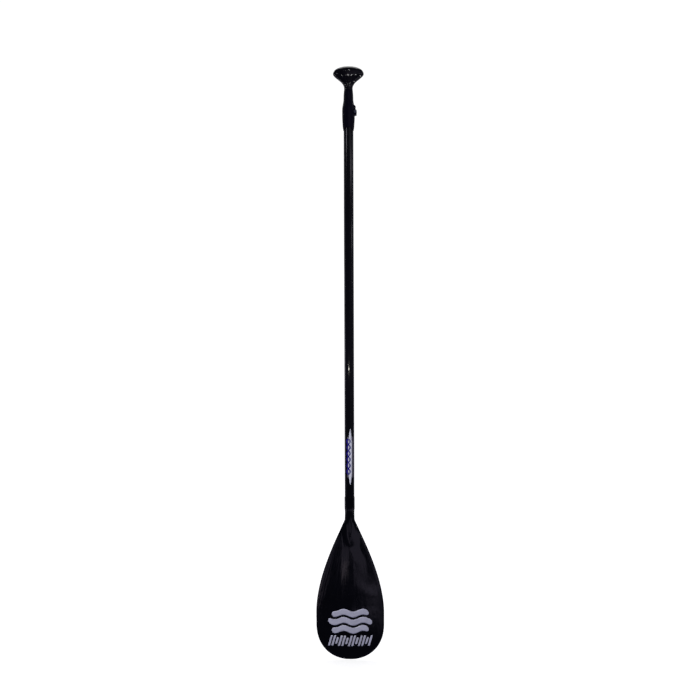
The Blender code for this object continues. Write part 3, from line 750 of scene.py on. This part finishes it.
def make_strip(material):
    """A row of slanted bars of equal pitch, with every third one short."""
    pitch = 2 * STRIP["half"] / STRIP_BARS
    middle = (STRIP["top"] + STRIP["bottom"]) / 2
    wide = pitch * BAR_HALF_SHARE

    def slanted(across, along):
        return on_blade(across - BAR_SLANT * (along - middle), along)

    grids = []
    for bar in range(STRIP_BARS):
        centre = -STRIP["half"] + pitch * (bar + 0.5)
        tall = (STRIP["bottom"] - STRIP["top"]) / 2 * (SHORT_BAR if bar % 3 == 2 else 1.0)

        def edges(share, centre=centre, tall=tall):
            across = mixed(-wide, wide, share)
            reach = tall - BAR_CORNER * (1 - rounded_end(across, wide, BAR_CORNER))
            return centre + across, middle - reach, middle + reach

        grids.append(patch(slanted, 9, 13, edges))
    return make_print("blade_bars", grids, "main", material, BLADE_INK)


# ---------------- shaft


def tube_profile(radius, bore, low, high, chamfer, rings):
    """(radius, z) round a tube's wall: its foot, its outer side in rings, and its head."""
    profile = [(bore, low), (radius - chamfer, low)]
    profile += [(radius, z) for z in spread(low + chamfer, high - chamfer, rings)]
    profile += [(radius - chamfer, high), (bore, high)]
    return profile


def make_shaft(material):
    tube = tube_profile(SHAFT_RADIUS, SHAFT_BORE, SHAFT_LOW.z, SHAFT_HIGH.z, 0.4 * MM, 24)
    return finish_mesh("shaft_tube", turned(tube), "main", material, ["main_shaft"])


def shaft_band(lift, low, high, rows, columns, span):
    """Rows of points up the shaft's front. span(height) gives a row's middle and half width."""
    radius = SHAFT_RADIUS + lift
    grid = []
    for height in spread(low, high, rows):
        middle, half = span(height)
        angles = [(middle + x) / radius for x in spread(-half, half, columns)]
        grid.append([(radius * sin(a), -radius * cos(a), height) for a in angles])
    return grid


DECAL = {"low": -0.545, "high": -0.377, "half": 5.6 * MM, "shift": 2.6 * MM}
HAZE = {"low": -0.524, "high": -0.400, "left": -6.5 * MM, "right": 15.5 * MM}
HAZE_CORNER = 4 * MM
# The plaited lines: where they start and end, their middle, reach, length of a turn and half width.
MARKS = {
    "low": DECAL["low"] + 0.031, "high": DECAL["high"] - 0.030,
    "middle": -3.0 * MM, "reach": 5.0 * MM, "turn": 36 * MM, "half": 2.2 * MM,
}


def spear_span(height):
    """The spear: pointed at both ends, with a long even middle."""
    share = (height - DECAL["low"]) / (DECAL["high"] - DECAL["low"])
    rise = min(share, 1 - share) / 0.30
    half = DECAL["half"] * max(sin(pi / 2 * min(max(rise, 0), 1)), 0) ** 0.8 + 0.05 * MM
    return DECAL["shift"], half


def make_decal(material):
    """The pale spear-shaped field of the shaft's label."""
    grid = shaft_band(0.06 * MM, DECAL["low"], DECAL["high"], 90, 9, spear_span)
    return make_print("shaft_decal", [grid], "main", material, 0.05 * MM)


def haze_span(height):
    """A band with round corners."""
    near = min(height - HAZE["low"], HAZE["high"] - height)
    bite = 1 - sqrt(max(1 - max(1 - near / HAZE_CORNER, 0) ** 2, 0))
    half = (HAZE["right"] - HAZE["left"]) / 2
    return (HAZE["left"] + HAZE["right"]) / 2, half - HAZE_CORNER * bite


def make_decal_haze(material):
    """A dim lacquer band round the shaft's front, under the spear."""
    grid = shaft_band(0.02 * MM, HAZE["low"], HAZE["high"], 90, 25, haze_span)
    return make_print("shaft_decal_haze", [grid], "main", material, 0.03 * MM)


def make_decal_marks(material):
    """A plaited pair of wavy lines up the spear and past its left side."""
    grids = []
    for phase in (0.0, pi):

        def span(height, phase=phase):
            turn = (height - MARKS["low"]) / MARKS["turn"] * 2 * pi + phase
            return MARKS["middle"] + MARKS["reach"] * sin(turn), MARKS["half"]

        grids.append(shaft_band(0.13 * MM, MARKS["low"], MARKS["high"], 160, 7, span))
    return make_print("shaft_decal_marks", grids, "main", material, 0.04 * MM)


# ---------------- clamp

COLLAR_BOTTOM = COLLAR_LOW.z
COLLAR_TOP = COLLAR_HIGH.z
CLAMP_Z = PIN_AXIS.z
BOLT_X = PIN_AXIS.x
EAR_BACK = 7.5 * MM
# Each lobe of the ears: x, height above the bolt, radius and thickness.
EAR_LOBES = ((15.5 * MM, 0.0, 9.5 * MM, 16 * MM), (16.3 * MM, 14 * MM, 5.5 * MM, 14 * MM))
COLLAR_SCREW_Z = 0.534
COLLAR_POINTS = (
    # height above the lip, radius, in millimetres
    (1.5, 15.9), (9.0, 17.0), (17.0, 17.7), (26.0, 18.2), (36.0, 18.75), (46.0, 18.87),
    (55.0, 18.87), (64.0, 18.75), (71.0, 18.05), (77.0, 16.95), (83.0, 15.8), (88.0, 15.05),
    (94.0, 14.65), (104.0, 14.4), (112.0, 13.9), (118.8, 13.4),
)
# How far a cutting tool reaches past what it cuts.
PAST = 10 * MM


def height_curve(points, height):
    """A smooth value at a height, from (height, value) points at any spacing (cubic Hermite)."""
    slopes = [(b[1] - a[1]) / (b[0] - a[0]) for a, b in zip(points, points[1:])]
    slopes = [slopes[0]] + [(a + b) / 2 for a, b in zip(slopes, slopes[1:])] + [slopes[-1]]
    index = max(step for step in range(len(points) - 1) if step == 0 or points[step][0] <= height)
    (low, first), (high, second) = points[index:index + 2]
    span = high - low
    share = (height - low) / span
    bend = share * share * (3 - 2 * share)
    start = share * (1 - share) ** 2 * span * slopes[index]
    end = -share * share * (1 - share) * span * slopes[index + 1]
    return mixed(first, second, bend) + start + end


def collar_outline():
    middle = [(height_curve(COLLAR_POINTS, height), height) for height in spread(1.5, 118.8, 90)]
    points = [(15.3, 0.0), (15.6, 0.35), (15.8, 0.8), *middle, (13.25, 119.6), (13.0, 120.0)]
    return [(radius * MM, COLLAR_BOTTOM + height * MM) for radius, height in points]


def ear_lobe(x, rise, radius, thickness):
    """One round lobe of the clamp's ears, with bevelled rims."""
    lobe = cross_rod((x, 0, CLAMP_Z + rise), radius, thickness, 56)
    rim = [e for e in lobe.edges if len({round(v.co.y, 5) for v in e.verts}) == 1]
    bmesh.ops.bevel(lobe, geom=rim, offset=0.8 * MM, segments=3, affect="EDGES", profile=0.5)
    return lobe


def lip_arch():
    """A wide rod across the collar, which cuts its lower lip to an arch."""
    half_chord, arch = 15.0 * MM, 8.0 * MM
    radius = (half_chord**2 + arch**2) / (2 * arch)
    return cross_rod((0, 0, COLLAR_BOTTOM + arch - radius), radius, 0.06, 120)


def make_collar(material):
    outline = collar_outline()
    solid = [(0, COLLAR_BOTTOM), *outline, (0, outline[-1][1])]
    seat_radius, ring_radius, mouth_radius = SHAFT_RADIUS + 0.3 * MM, 15.3 * MM, 12.35 * MM
    ring_low = SHAFT_HIGH.z + 0.3 * MM
    ring_high = ring_low + 7.2 * MM
    bore = [
        (0, COLLAR_BOTTOM - PAST), (seat_radius, COLLAR_BOTTOM - PAST), (seat_radius, ring_low),
        (ring_radius, ring_low), (ring_radius, ring_high), (mouth_radius, ring_high),
        (mouth_radius, COLLAR_TOP + PAST), (0, COLLAR_TOP + PAST),
    ]
    half_slit, slit_height = 1.25 * MM, 28 * MM
    head_radius, screw_radius, hole_radius = 5.2 * MM, 3.4 * MM, 2.8 * MM
    screw_floor = 16.3 * MM
    saddle_low, saddle_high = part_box("cam_saddle")
    margin, pocket_depth = 0.4 * MM, 5 * MM
    slit = block((0, -half_slit, COLLAR_BOTTOM - PAST), (0.04, half_slit, CLAMP_Z + slit_height))
    pocket = block(
        (saddle_low.x - margin, EAR_BACK, saddle_low.z - margin),
        (saddle_high.x + pocket_depth, EAR_BACK + pocket_depth, saddle_high.z + margin),
    )
    head_seat = cross_rod((BOLT_X, -EAR_BACK - PAST / 2, CLAMP_Z), head_radius, PAST, 40)
    screw_seat = cross_rod((0, screw_floor + PAST / 2, COLLAR_SCREW_Z), screw_radius, PAST)
    bolt_hole = cross_rod((BOLT_X, 0, CLAMP_Z), hole_radius, 0.04)
    steps = [("UNION", ear_lobe(*lobe)) for lobe in EAR_LOBES]
    for tool in (turned(bore), slit, bolt_hole, head_seat, pocket, lip_arch(), screw_seat):
        steps.append(("DIFFERENCE", tool))
    body = carve(turned(solid), steps)
    obj = finish_mesh("collar_body", body, "main", material, ["clamp_collar"])
    return soften(obj, 0.25 * MM)


CAM_RADIUS = 4.9 * MM
CAM_BACK_RADIUS = 4.4 * MM
CAM_PEAK_ANGLE = radians(265)
LEVER_INNER = 19.4 * MM
LEVER_ROOT_OUTER, LEVER_ARM_OUTER = 28.8 * MM, 22.6 * MM
LEVER_TIP_FLARE = 0.6 * MM
LEVER_ROOT_ANGLE = radians(45)
LEVER_TIP_ANGLE = radians(148)
# The tip is rounded over this angle, in radians.
LEVER_TIP_ROUND = 0.05


def cam_radius(angle):
    """The cam's radius: full near its peak, then falling to the smaller back."""
    flat, fall = radians(20), radians(60)
    away = abs((angle - CAM_PEAK_ANGLE + pi) % (2 * pi) - pi)
    return mixed(CAM_RADIUS, CAM_BACK_RADIUS, smooth_step((away - flat) / fall))


def lever_outer(angle):
    """The radius, from the shaft's axis, of the lever's outer side."""
    root_share, flare_start, flare_share = 0.55, 0.8, 0.2
    share = (angle - LEVER_ROOT_ANGLE) / (LEVER_TIP_ANGLE - LEVER_ROOT_ANGLE)
    arm = mixed(LEVER_ROOT_OUTER, LEVER_ARM_OUTER, smooth_step(share / root_share))
    return arm + LEVER_TIP_FLARE * smooth_step((share - flare_start) / flare_share)


def lever_outline():
    """The closed lever from above: cam, arm wrapped round the collar's back, and rounded tip."""
    cam = []
    for angle in spread(radians(222), radians(452), 49):
        x, y = polar(cam_radius(angle), angle)
        cam.append((BOLT_X + x, PIN_AXIS.y + y))
    arm_end = LEVER_TIP_ANGLE - LEVER_TIP_ROUND
    outer = [polar(lever_outer(a), a) for a in spread(radians(48), arm_end, 48)]
    middle = (LEVER_INNER + lever_outer(LEVER_TIP_ANGLE)) / 2
    half = (lever_outer(LEVER_TIP_ANGLE) - LEVER_INNER) / 2
    tip = []
    for turn in spread(radians(75), radians(-75), 9):
        angle = arm_end + LEVER_TIP_ROUND * cos(turn)
        tip.append(polar(middle + half * sin(turn), angle))
    inner = [polar(LEVER_INNER, a) for a in spread(arm_end, radians(43), 44)]
    return cam + outer + tip + inner


def make_lever(material):
    """The cam lever, forked round the bolt, with four finger grooves near its tip."""
    low, high = LEVER_LOW.z, LEVER_HIGH.z
    pin_radius, fork, fork_depth = 3.7 * MM, 3.1 * MM, 5.2 * MM
    rim, groove_radius, groove_out = 0.9 * MM, 0.9 * MM, 0.55 * MM
    pin_hole = round_cutter(pin_radius, low - 5 * MM, high + 5 * MM, 48, (BOLT_X, PIN_AXIS.y))
    slot = block((BOLT_X - fork_depth, -0.01, CLAMP_Z - fork), (0.05, 0.05, CLAMP_Z + fork))
    steps = [("DIFFERENCE", pin_hole), ("DIFFERENCE", slot)]
    for rib in range(4):
        angle = LEVER_TIP_ANGLE - radians(6 + 5 * rib)
        centre = polar(lever_outer(angle) + groove_out, angle)
        groove = round_cutter(groove_radius, low - MM, high + MM, 16, centre)
        steps.append(("DIFFERENCE", groove))
    body = carve(rounded_prism(lever_outline(), low, high, rim), steps)
    return finish_mesh("lever_body", body, "lever", material, ["clamp_lever"])


# ---------------- handle


TUBE_RADIUS = TUBE_HIGH.x
TUBE_BORE = 10.6 * MM
TICKS = 40
TICK_PITCH = 10 * MM
TICK_HALF = 0.4 * MM
LONG_TICK, SHORT_TICK = 5.5 * MM, 3.0 * MM


def make_tube(material):
    """The inner tube, with the key groove down its back."""
    profile = tube_profile(TUBE_RADIUS, TUBE_BORE, TUBE_LOW.z, TUBE_HIGH.z, 0.3 * MM, 16)
    groove_half, groove_floor = 1.8 * MM, 11.3 * MM
    groove = block(
        (-groove_half, groove_floor, SHAFT_HIGH.z - 401 * MM),
        (groove_half, 20 * MM, SHAFT_HIGH.z + 10.6 * MM),
    )
    skin = carve(turned(profile), [("DIFFERENCE", groove)])
    return finish_mesh("tube_skin", skin, "handle", material, ["handle_tube"])


def make_scale(material):
    """Centimetre ticks down the tube's front, longer at each fifth, read at the collar's mouth."""
    radius = TUBE_RADIUS + 0.04 * MM
    ticks = []
    for step in range(1, TICKS + 1):
        height = COLLAR_TOP - TICK_PITCH * step
        reach = LONG_TICK if step % 5 == 0 else SHORT_TICK
        angles = spread(-reach / 2 / radius, reach / 2 / radius, 7)
        front = [(radius * sin(a), -radius * cos(a)) for a in angles]
        levels = (height - TICK_HALF, height + TICK_HALF)
        ticks.append([[(x, y, z) for x, y in front] for z in levels])
    return make_print("tube_scale", ticks, "handle", material, 0.03 * MM)


GRIP_LEVELS = (
    # height above the grip's bottom, half width, half thickness, in millimetres
    (0.0, 12.6, 12.4), (0.25, 12.9, 12.65), (7.0, 13.0, 12.7), (13.0, 15.1, 13.4),
    (19.0, 19.0, 14.4), (25.0, 25.0, 15.4), (31.0, 32.6, 16.5), (37.0, 39.9, 17.5),
    (43.0, 45.1, 18.0), (48.0, 46.0, 18.1), (53.0, 44.6, 17.7), (58.0, 41.0, 16.5),
    (63.0, 33.7, 14.0), (67.0, 22.6, 9.8), (69.0, 10.6, 4.8),
)


def grip_half_ring(height, half_width, half_depth, side, steps=64):
    """Half of one level of the grip: its outer curve, drawn in a little next to the joint."""
    gap = 0.01 * MM
    groove_reach, groove_depth = 0.7 * MM, 0.3 * MM
    outer = []
    for step in range(steps + 1):
        angle = pi * (0.5 - 0.5 * cos(pi * step / steps))
        x = half_width * cos(angle)
        y = half_depth * sin(angle)
        shrink = 1 - groove_depth / half_width * max(1 - y / groove_reach, 0) ** 2
        outer.append((x * shrink, side * max(y, gap), height))
    return outer


def make_grip_half(name, side, node, material):
    rings = []
    for share in spread(0, 1, 76):
        height, half_width, half_depth = spline(GRIP_LEVELS, share) * MM
        rings.append(grip_half_ring(GRIP_BOTTOM + height, half_width, half_depth, side))
    return finish_mesh(name, loft(rings), "handle", material, [node], sharp=50)


# ---------------- small CAD pieces that stay


STEEL_PIECES = (
    "blade_rivet", "collar_screw", "clamp_bolt", "bolt_washer", "cam_saddle", "barrel_pin",
    "grip_pin",
)
NYLON_PIECES = ("key_ring", "tube_guide_plug", "grip_core")
FOAM_PIECES = ("shaft_foam_plug", "tube_foam_plug")
RUBBER_PIECES = ("tube_o_ring",)


def dress_small_pieces():
    """Gives each CAD node that stays as it is its own procedural material."""
    groups = (
        (steel_material(), STEEL_PIECES), (nylon_material(), NYLON_PIECES),
        (foam_material(), FOAM_PIECES), (rubber_material(), RUBBER_PIECES),
    )
    for material, nodes in groups:
        for node in nodes:
            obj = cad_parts[node]
            obj.data.materials.clear()
            obj.data.materials.append(material)


# ---------------- stage, camera and lights

CAMERA_DISTANCE = 2.70
CAMERA_HEIGHT = -0.142
VIEW_HEIGHT = 2.10
CAMERA_AZIMUTH = radians(1)
CAMERA_ROLL = radians(0.17)
CAMERA_AIM_X = 2.5 * MM
FLOOR_HALF = 30
FLOOR_GAP = 3 * MM
STREAK_DISTANCE = 2.0
SKY_DISTANCE = 4.0
GLINT_DISTANCE = 2.2


def make_camera():
    data = bpy.data.cameras.new("camera")
    data.sensor_width = 36
    data.lens = data.sensor_width * CAMERA_DISTANCE / VIEW_HEIGHT
    camera = add_object("camera", data)
    back = Vector((sin(CAMERA_AZIMUTH), -cos(CAMERA_AZIMUTH), 0))
    camera.location = Vector((CAMERA_AIM_X, 0, CAMERA_HEIGHT)) + back * CAMERA_DISTANCE
    camera.rotation_mode = "QUATERNION"
    aim = (-back).to_track_quat("-Z", "Y")
    camera.rotation_quaternion = aim @ Matrix.Rotation(-CAMERA_ROLL, 3, "Z").to_quaternion()
    bpy.context.scene.camera = camera


def make_floor():
    """A wide pale floor, just under the blade's tip. It glows: its emission is painted light,
    weaker near the paddle and stronger further out, where the lamps reach less.
    """
    builder = bmesh.new()
    bmesh.ops.create_grid(builder, x_segments=8, y_segments=8, size=FLOOR_HALF)
    bmesh.ops.translate(builder, verts=builder.verts, vec=(0, 0, cad_bounds[0].z - FLOOR_GAP))
    floor = finish_mesh("floor", builder, None)
    white = (1, 1, 1, 1)
    grey = (0.80, 0.80, 0.80)
    make = Nodes("floor_pale", grey, 0.9, Emission_Color=white, Specular_IOR_Level=0.0)
    reach = make.node("ShaderNodeVectorMath", operation="LENGTH")
    make.link(make.place, reach.inputs[0])
    # Painted light: emission rises from 0.90 within 1.1 m of the middle to 1.05 past 2.2 m. So the
    # far floor glows white where the lamps light it less, while the lamps' shading and the tip's
    # shadow still show near the paddle.
    glow = make.remap(reach.outputs["Value"], 1.1, 2.2, 0.90, 1.05)
    make.link(glow, make.shader.inputs["Emission Strength"])
    make.material.cycles.emission_sampling = "NONE"
    floor.data.materials.append(make.material)
    floor.visible_glossy = False
    floor.visible_diffuse = False
    floor.visible_shadow = False


def make_world():
    """White for the camera, and for the gloss a dim room that is brighter from below."""
    world = bpy.data.worlds.new("studio")
    bpy.context.scene.world = world
    world.use_nodes = True
    tree = world.node_tree
    tree.nodes.clear()
    kinds = (
        "LightPath", "TexCoord", "SeparateXYZ", "MapRange", "Background", "Background",
        "MixShader", "OutputWorld",
    )
    path, way, height, glow, room, white, choose, output = (
        tree.nodes.new("ShaderNode" + kind) for kind in kinds
    )
    for socket, value in zip(RANGE_SOCKETS, (-0.60, -0.95, 0.045, 0.30)):
        glow.inputs[socket].default_value = value
    room.inputs["Color"].default_value = (0.55, 0.60, 1.0, 1)
    white.inputs["Color"].default_value = (1, 1, 1, 1)
    white.inputs["Strength"].default_value = 1.05
    links = (
        (way.outputs["Generated"], height.inputs[0]),
        (height.outputs["Z"], glow.inputs["Value"]),
        (glow.outputs["Result"], room.inputs["Strength"]),
        (path.outputs["Is Camera Ray"], choose.inputs[0]),
        (room.outputs[0], choose.inputs[1]),
        (white.outputs[0], choose.inputs[2]),
        (choose.outputs[0], output.inputs["Surface"]),
    )
    for source, target in links:
        tree.links.new(source, target)


def panel(name, centre, aim, width, height, radiance, colour=(1, 1, 1)):
    """A rectangular light that shines evenly. radiance is the brightness of its face."""
    data = bpy.data.lights.new(name, "AREA")
    data.shape = "RECTANGLE"
    data.size = width
    data.size_y = height
    data.energy = radiance * pi * width * height
    data.color = colour
    lamp = add_object(name, data)
    lamp.location = centre
    lamp.rotation_mode = "QUATERNION"
    lamp.rotation_quaternion = (Vector(aim) - Vector(centre)).to_track_quat("-Z", "Y")
    lamp.visible_camera = False
    return lamp


def only_for(lamp, *objects):
    """Limits a lamp to some pieces, as flags and snoots do in a studio."""
    receivers = bpy.data.collections.new(lamp.name + "_receivers")
    for obj in objects:
        receivers.objects.link(obj)
    lamp.light_linking.receiver_collection = receivers


def mirrored(point, normal, distance):
    """Where the camera's ray that bounces off a surface at point goes, at that distance from it."""
    eye = bpy.context.scene.camera.location
    into = (Vector(point) - eye).normalized()
    normal = Vector(normal).normalized()
    return Vector(point) + (into - 2 * into.dot(normal) * normal) * distance


def shaft_streak(name, offset, low, high, width, radiance, colour, distance=STREAK_DISTANCE):
    """A tall panel that the shaft reflects as a streak at an offset, from low to high."""
    angle = asin(offset / SHAFT_RADIUS)
    normal = Vector((sin(angle), -cos(angle), 0))
    ends = [normal * SHAFT_RADIUS + Vector((0, 0, z)) for z in (low, high)]
    foot, head = (mirrored(end, normal, distance) for end in ends)
    aim = Vector((0, 0, (low + high) / 2))
    return panel(name, (foot + head) / 2, aim, width, (head - foot).length, radiance, colour)


def sky_panel(name, seen_from, azimuths, elevations, radiance, colour):
    """A far panel that covers a range of azimuths and elevations, in degrees, seen from a point."""
    azimuth, elevation = (radians(sum(span) / 2) for span in (azimuths, elevations))
    level = cos(elevation)
    way = Vector((sin(azimuth) * level, -cos(azimuth) * level, sin(elevation)))
    width, height = (
        2 * SKY_DISTANCE * tan(radians(abs(last - first)) / 2)
        for first, last in (azimuths, elevations)
    )
    centre = Vector(seen_from) + way * SKY_DISTANCE
    return panel(name, centre, seen_from, width, height, radiance, colour)


def grip_point(x, height):
    """A point on the grip's front at a place across and a height above its bottom."""
    steps = 400
    for step in range(steps + 1):
        level, half_width, half_depth = spline(GRIP_LEVELS, step / steps) * MM
        if level >= height:
            break
    bulge = sqrt(max(1 - (x / half_width) ** 2, 0.0))
    return Vector((x, -half_depth * bulge, GRIP_BOTTOM + height))


def grip_glint(name, x, z, size, radiance, receivers):
    """A small lamp whose reflection is a glint on the grip."""
    height = z - GRIP_BOTTOM
    point = grip_point(x, height)
    across = grip_point(x + 0.5 * MM, height) - grip_point(x - 0.5 * MM, height)
    up = grip_point(x, height + 1.5 * MM) - grip_point(x, height - 1.5 * MM)
    centre = mirrored(point, across.cross(up), GLINT_DISTANCE)
    only_for(panel(name, centre, point, size, size, radiance), *receivers)


LAVENDER = (0.80, 0.72, 1.0)
PALE = (0.90, 0.88, 1.0)
PINK = (1.0, 0.84, 0.92)
CREAM = (1.0, 0.97, 0.86)
# Glints on the grip: name, x in millimetres, z, size of the lamp and its radiance.
GLINTS = (
    ("glint_0", -19, 0.6775, 0.06, 40),
    ("glint_1", -10, 0.6775, 0.06, 10),
    ("glint_2", -0.5, 0.6775, 0.06, 140),
    ("glint_3", 10.2, 0.6775, 0.06, 80),
    ("glint_4", 18.3, 0.6775, 0.06, 10),
    ("glint_5", 36.5, 0.6775, 0.06, 140),
    ("glint_top_left", -10, 0.692, 0.06, 15),
    ("glint_top_right", 2, 0.692, 0.06, 80),
    ("glint_low_left", -10, 0.6515, 0.16, 30),
    ("glint_low_right", 4.8, 0.6535, 0.06, 130),
)


def make_lights(prints, shaft, blade, clamp, grips):
    make_room_lights(prints, shaft, blade)
    for card in BLADE_CARDS:
        sky_panel(*card)
    for name, offset, *rest in STREAKS:
        shaft_streak(name, offset * MM, *rest, PALE)
    dot = shaft_streak("lamp_dot", -1.0 * MM, -0.199, -0.196, 0.07, 60, CREAM, distance=0.15)
    only_for(dot, shaft)
    for name, x, z, size, radiance in GLINTS:
        grip_glint(name, x * MM, z, size, radiance, grips)
    collar_light = panel("collar_light", (0.6, -2.3, 1.0), (0, 0, 0.585), 0.7, 0.7, 3.0, LAVENDER)
    only_for(collar_light, *clamp)
    grip_middle = (0, 0, GRIP_BOTTOM + 40 * MM)
    only_for(sky_panel("grip_card", grip_middle, (-4, 100), (8, 42), 0.11, LAVENDER), *grips)


def make_room_lights(prints, shaft, blade):
    """Soft boxes above and behind, and dim bounce cards low down at the back and the sides."""
    ground, middle = (0, 0, 0), (0, 0, -0.4)
    panel("box_above", (0, 0.7, 3.2), ground, 2.2, 2.2, 2.2)
    panel("box_left", (-2.4, 1.5, 2.4), ground, 0.9, 1.2, 2.4)
    panel("box_right", (2.4, 1.5, 2.4), ground, 0.9, 1.2, 2.4)
    cool = (0.96, 0.96, 1.0)
    print_light = panel("print_light", (-0.9, -2.3, 0.5), (0, 0, -0.8), 1.0, 1.0, 15.0, cool)
    only_for(print_light, *prints)
    only_for(sky_panel("wall_right", ground, (8, 100), (-14, 45), 0.055, PALE), shaft)
    only_for(sky_panel("wall_left", ground, (-100, 8), (-14, 45), 0.030, PALE), shaft)
    for name, azimuths, elevations, radiance in BACK_CARDS:
        sky_panel(name, middle, azimuths, elevations, radiance, PALE)
    only_for(sky_panel("strip_left", middle, (-94, -84), (-38, -14), 0.8, PALE), shaft, blade)
    sky_panel("strip_right", middle, (72, 90), (-38, -14), 0.5, PALE)


THROAT = (0.01, -0.01, -0.73)
BELLY = (0.045, 0.01, -0.86)
CREASE = (-0.01, 0.0, -0.78)
RIGHT_EDGE = (0.09, 0.03, -0.93)
# Low cards in front, which the blade's faces and flanks reflect as soft grey fans: name, the point
# that they are seen from, azimuths, elevations, radiance and colour.
BLADE_CARDS = (
    ("fan_right", THROAT, (19, 52), (-32.5, -14), 0.33, LAVENDER),
    ("fan_low", BELLY, (8.0, 13.0), (-33.0, -30.4), 0.62, LAVENDER),
    ("edge_right", RIGHT_EDGE, (13.5, 19), (-34.5, -28), 0.16, LAVENDER),
    ("band_left", CREASE, (-43, -18.5), (-31.8, -22), 0.28, LAVENDER),
    ("facet", THROAT, (-7, 5), (-33.5, -20), 0.25, LAVENDER),
    ("sparkle", CREASE, (-28, -20), (-31.5, -28.5), 0.50, PINK),
)
# Cards behind the paddle: name, azimuths, elevations and radiance.
BACK_CARDS = (
    ("bounce_back_left", (188, 238), (-35, 12), 0.50),
    ("bounce_back_right", (150, 176), (-35, 4), 0.22),
    ("strip_back_right", (122, 130), (-35, 30), 1.2),
    ("strip_back_left", (248, 254), (-35, 30), 1.2),
)
# Tall cards that the shaft shows as short streaks: name, offset in millimetres, lowest and highest
# height of the streak, width and radiance of the card.
STREAKS = (
    ("streak_upper_left", -6.0, 0.462, 0.527, 0.50, 4.2),
    ("streak_upper_middle", 3.6, 0.455, 0.535, 1.40, 0.18),
    ("streak_upper_right", 7.2, 0.360, 0.455, 1.20, 1.25),
    ("streak_right", 8.8, 0.172, 0.222, 0.45, 2.4),
    ("streak_right_low", 9.0, 0.070, 0.095, 0.45, 0.9),
    ("streak_left_edge", -11.8, -0.220, -0.106, 0.6, 1.0),
)


# ---------------- build


def main():
    bpy.context.scene.view_settings.view_transform = "Standard"
    make_camera()
    make_world()
    make_floor()

    blade_plastic = blade_material()
    enamel = enamel_material()
    collar_plastic = collar_material()
    grip_plastic = grip_material()
    anodised = anodised_material()
    print_ink = ink_material("print_lavender_grey", (0.62, 0.62, 0.74))
    field_ink = ink_material("decal_lavender", (0.86, 0.87, 0.96), 0.15)
    navy_ink = ink_material("decal_navy", (0.010, 0.005, 0.220), 0.15, 0.08)
    haze_ink = ink_material("decal_haze", (0.110, 0.100, 0.135), 0.15, 0.2)
    scale_ink = ink_material("scale_white", (0.62, 0.62, 0.64), 0.2)

    blade = make_blade(blade_plastic)
    prints = [make_emblem(print_ink), make_strip(print_ink)]
    shaft = make_shaft(enamel)
    prints += [make_decal_haze(haze_ink), make_decal(field_ink), make_decal_marks(navy_ink)]
    clamp = [make_collar(collar_plastic), make_lever(collar_plastic)]
    make_tube(anodised)
    make_scale(scale_ink)
    grips = [
        make_grip_half("grip_front", -1, "grip_front_shell", grip_plastic),
        make_grip_half("grip_rear", 1, "grip_rear_shell", grip_plastic),
    ]
    dress_small_pieces()
    make_lights(prints, shaft, blade, clamp, grips)


main()
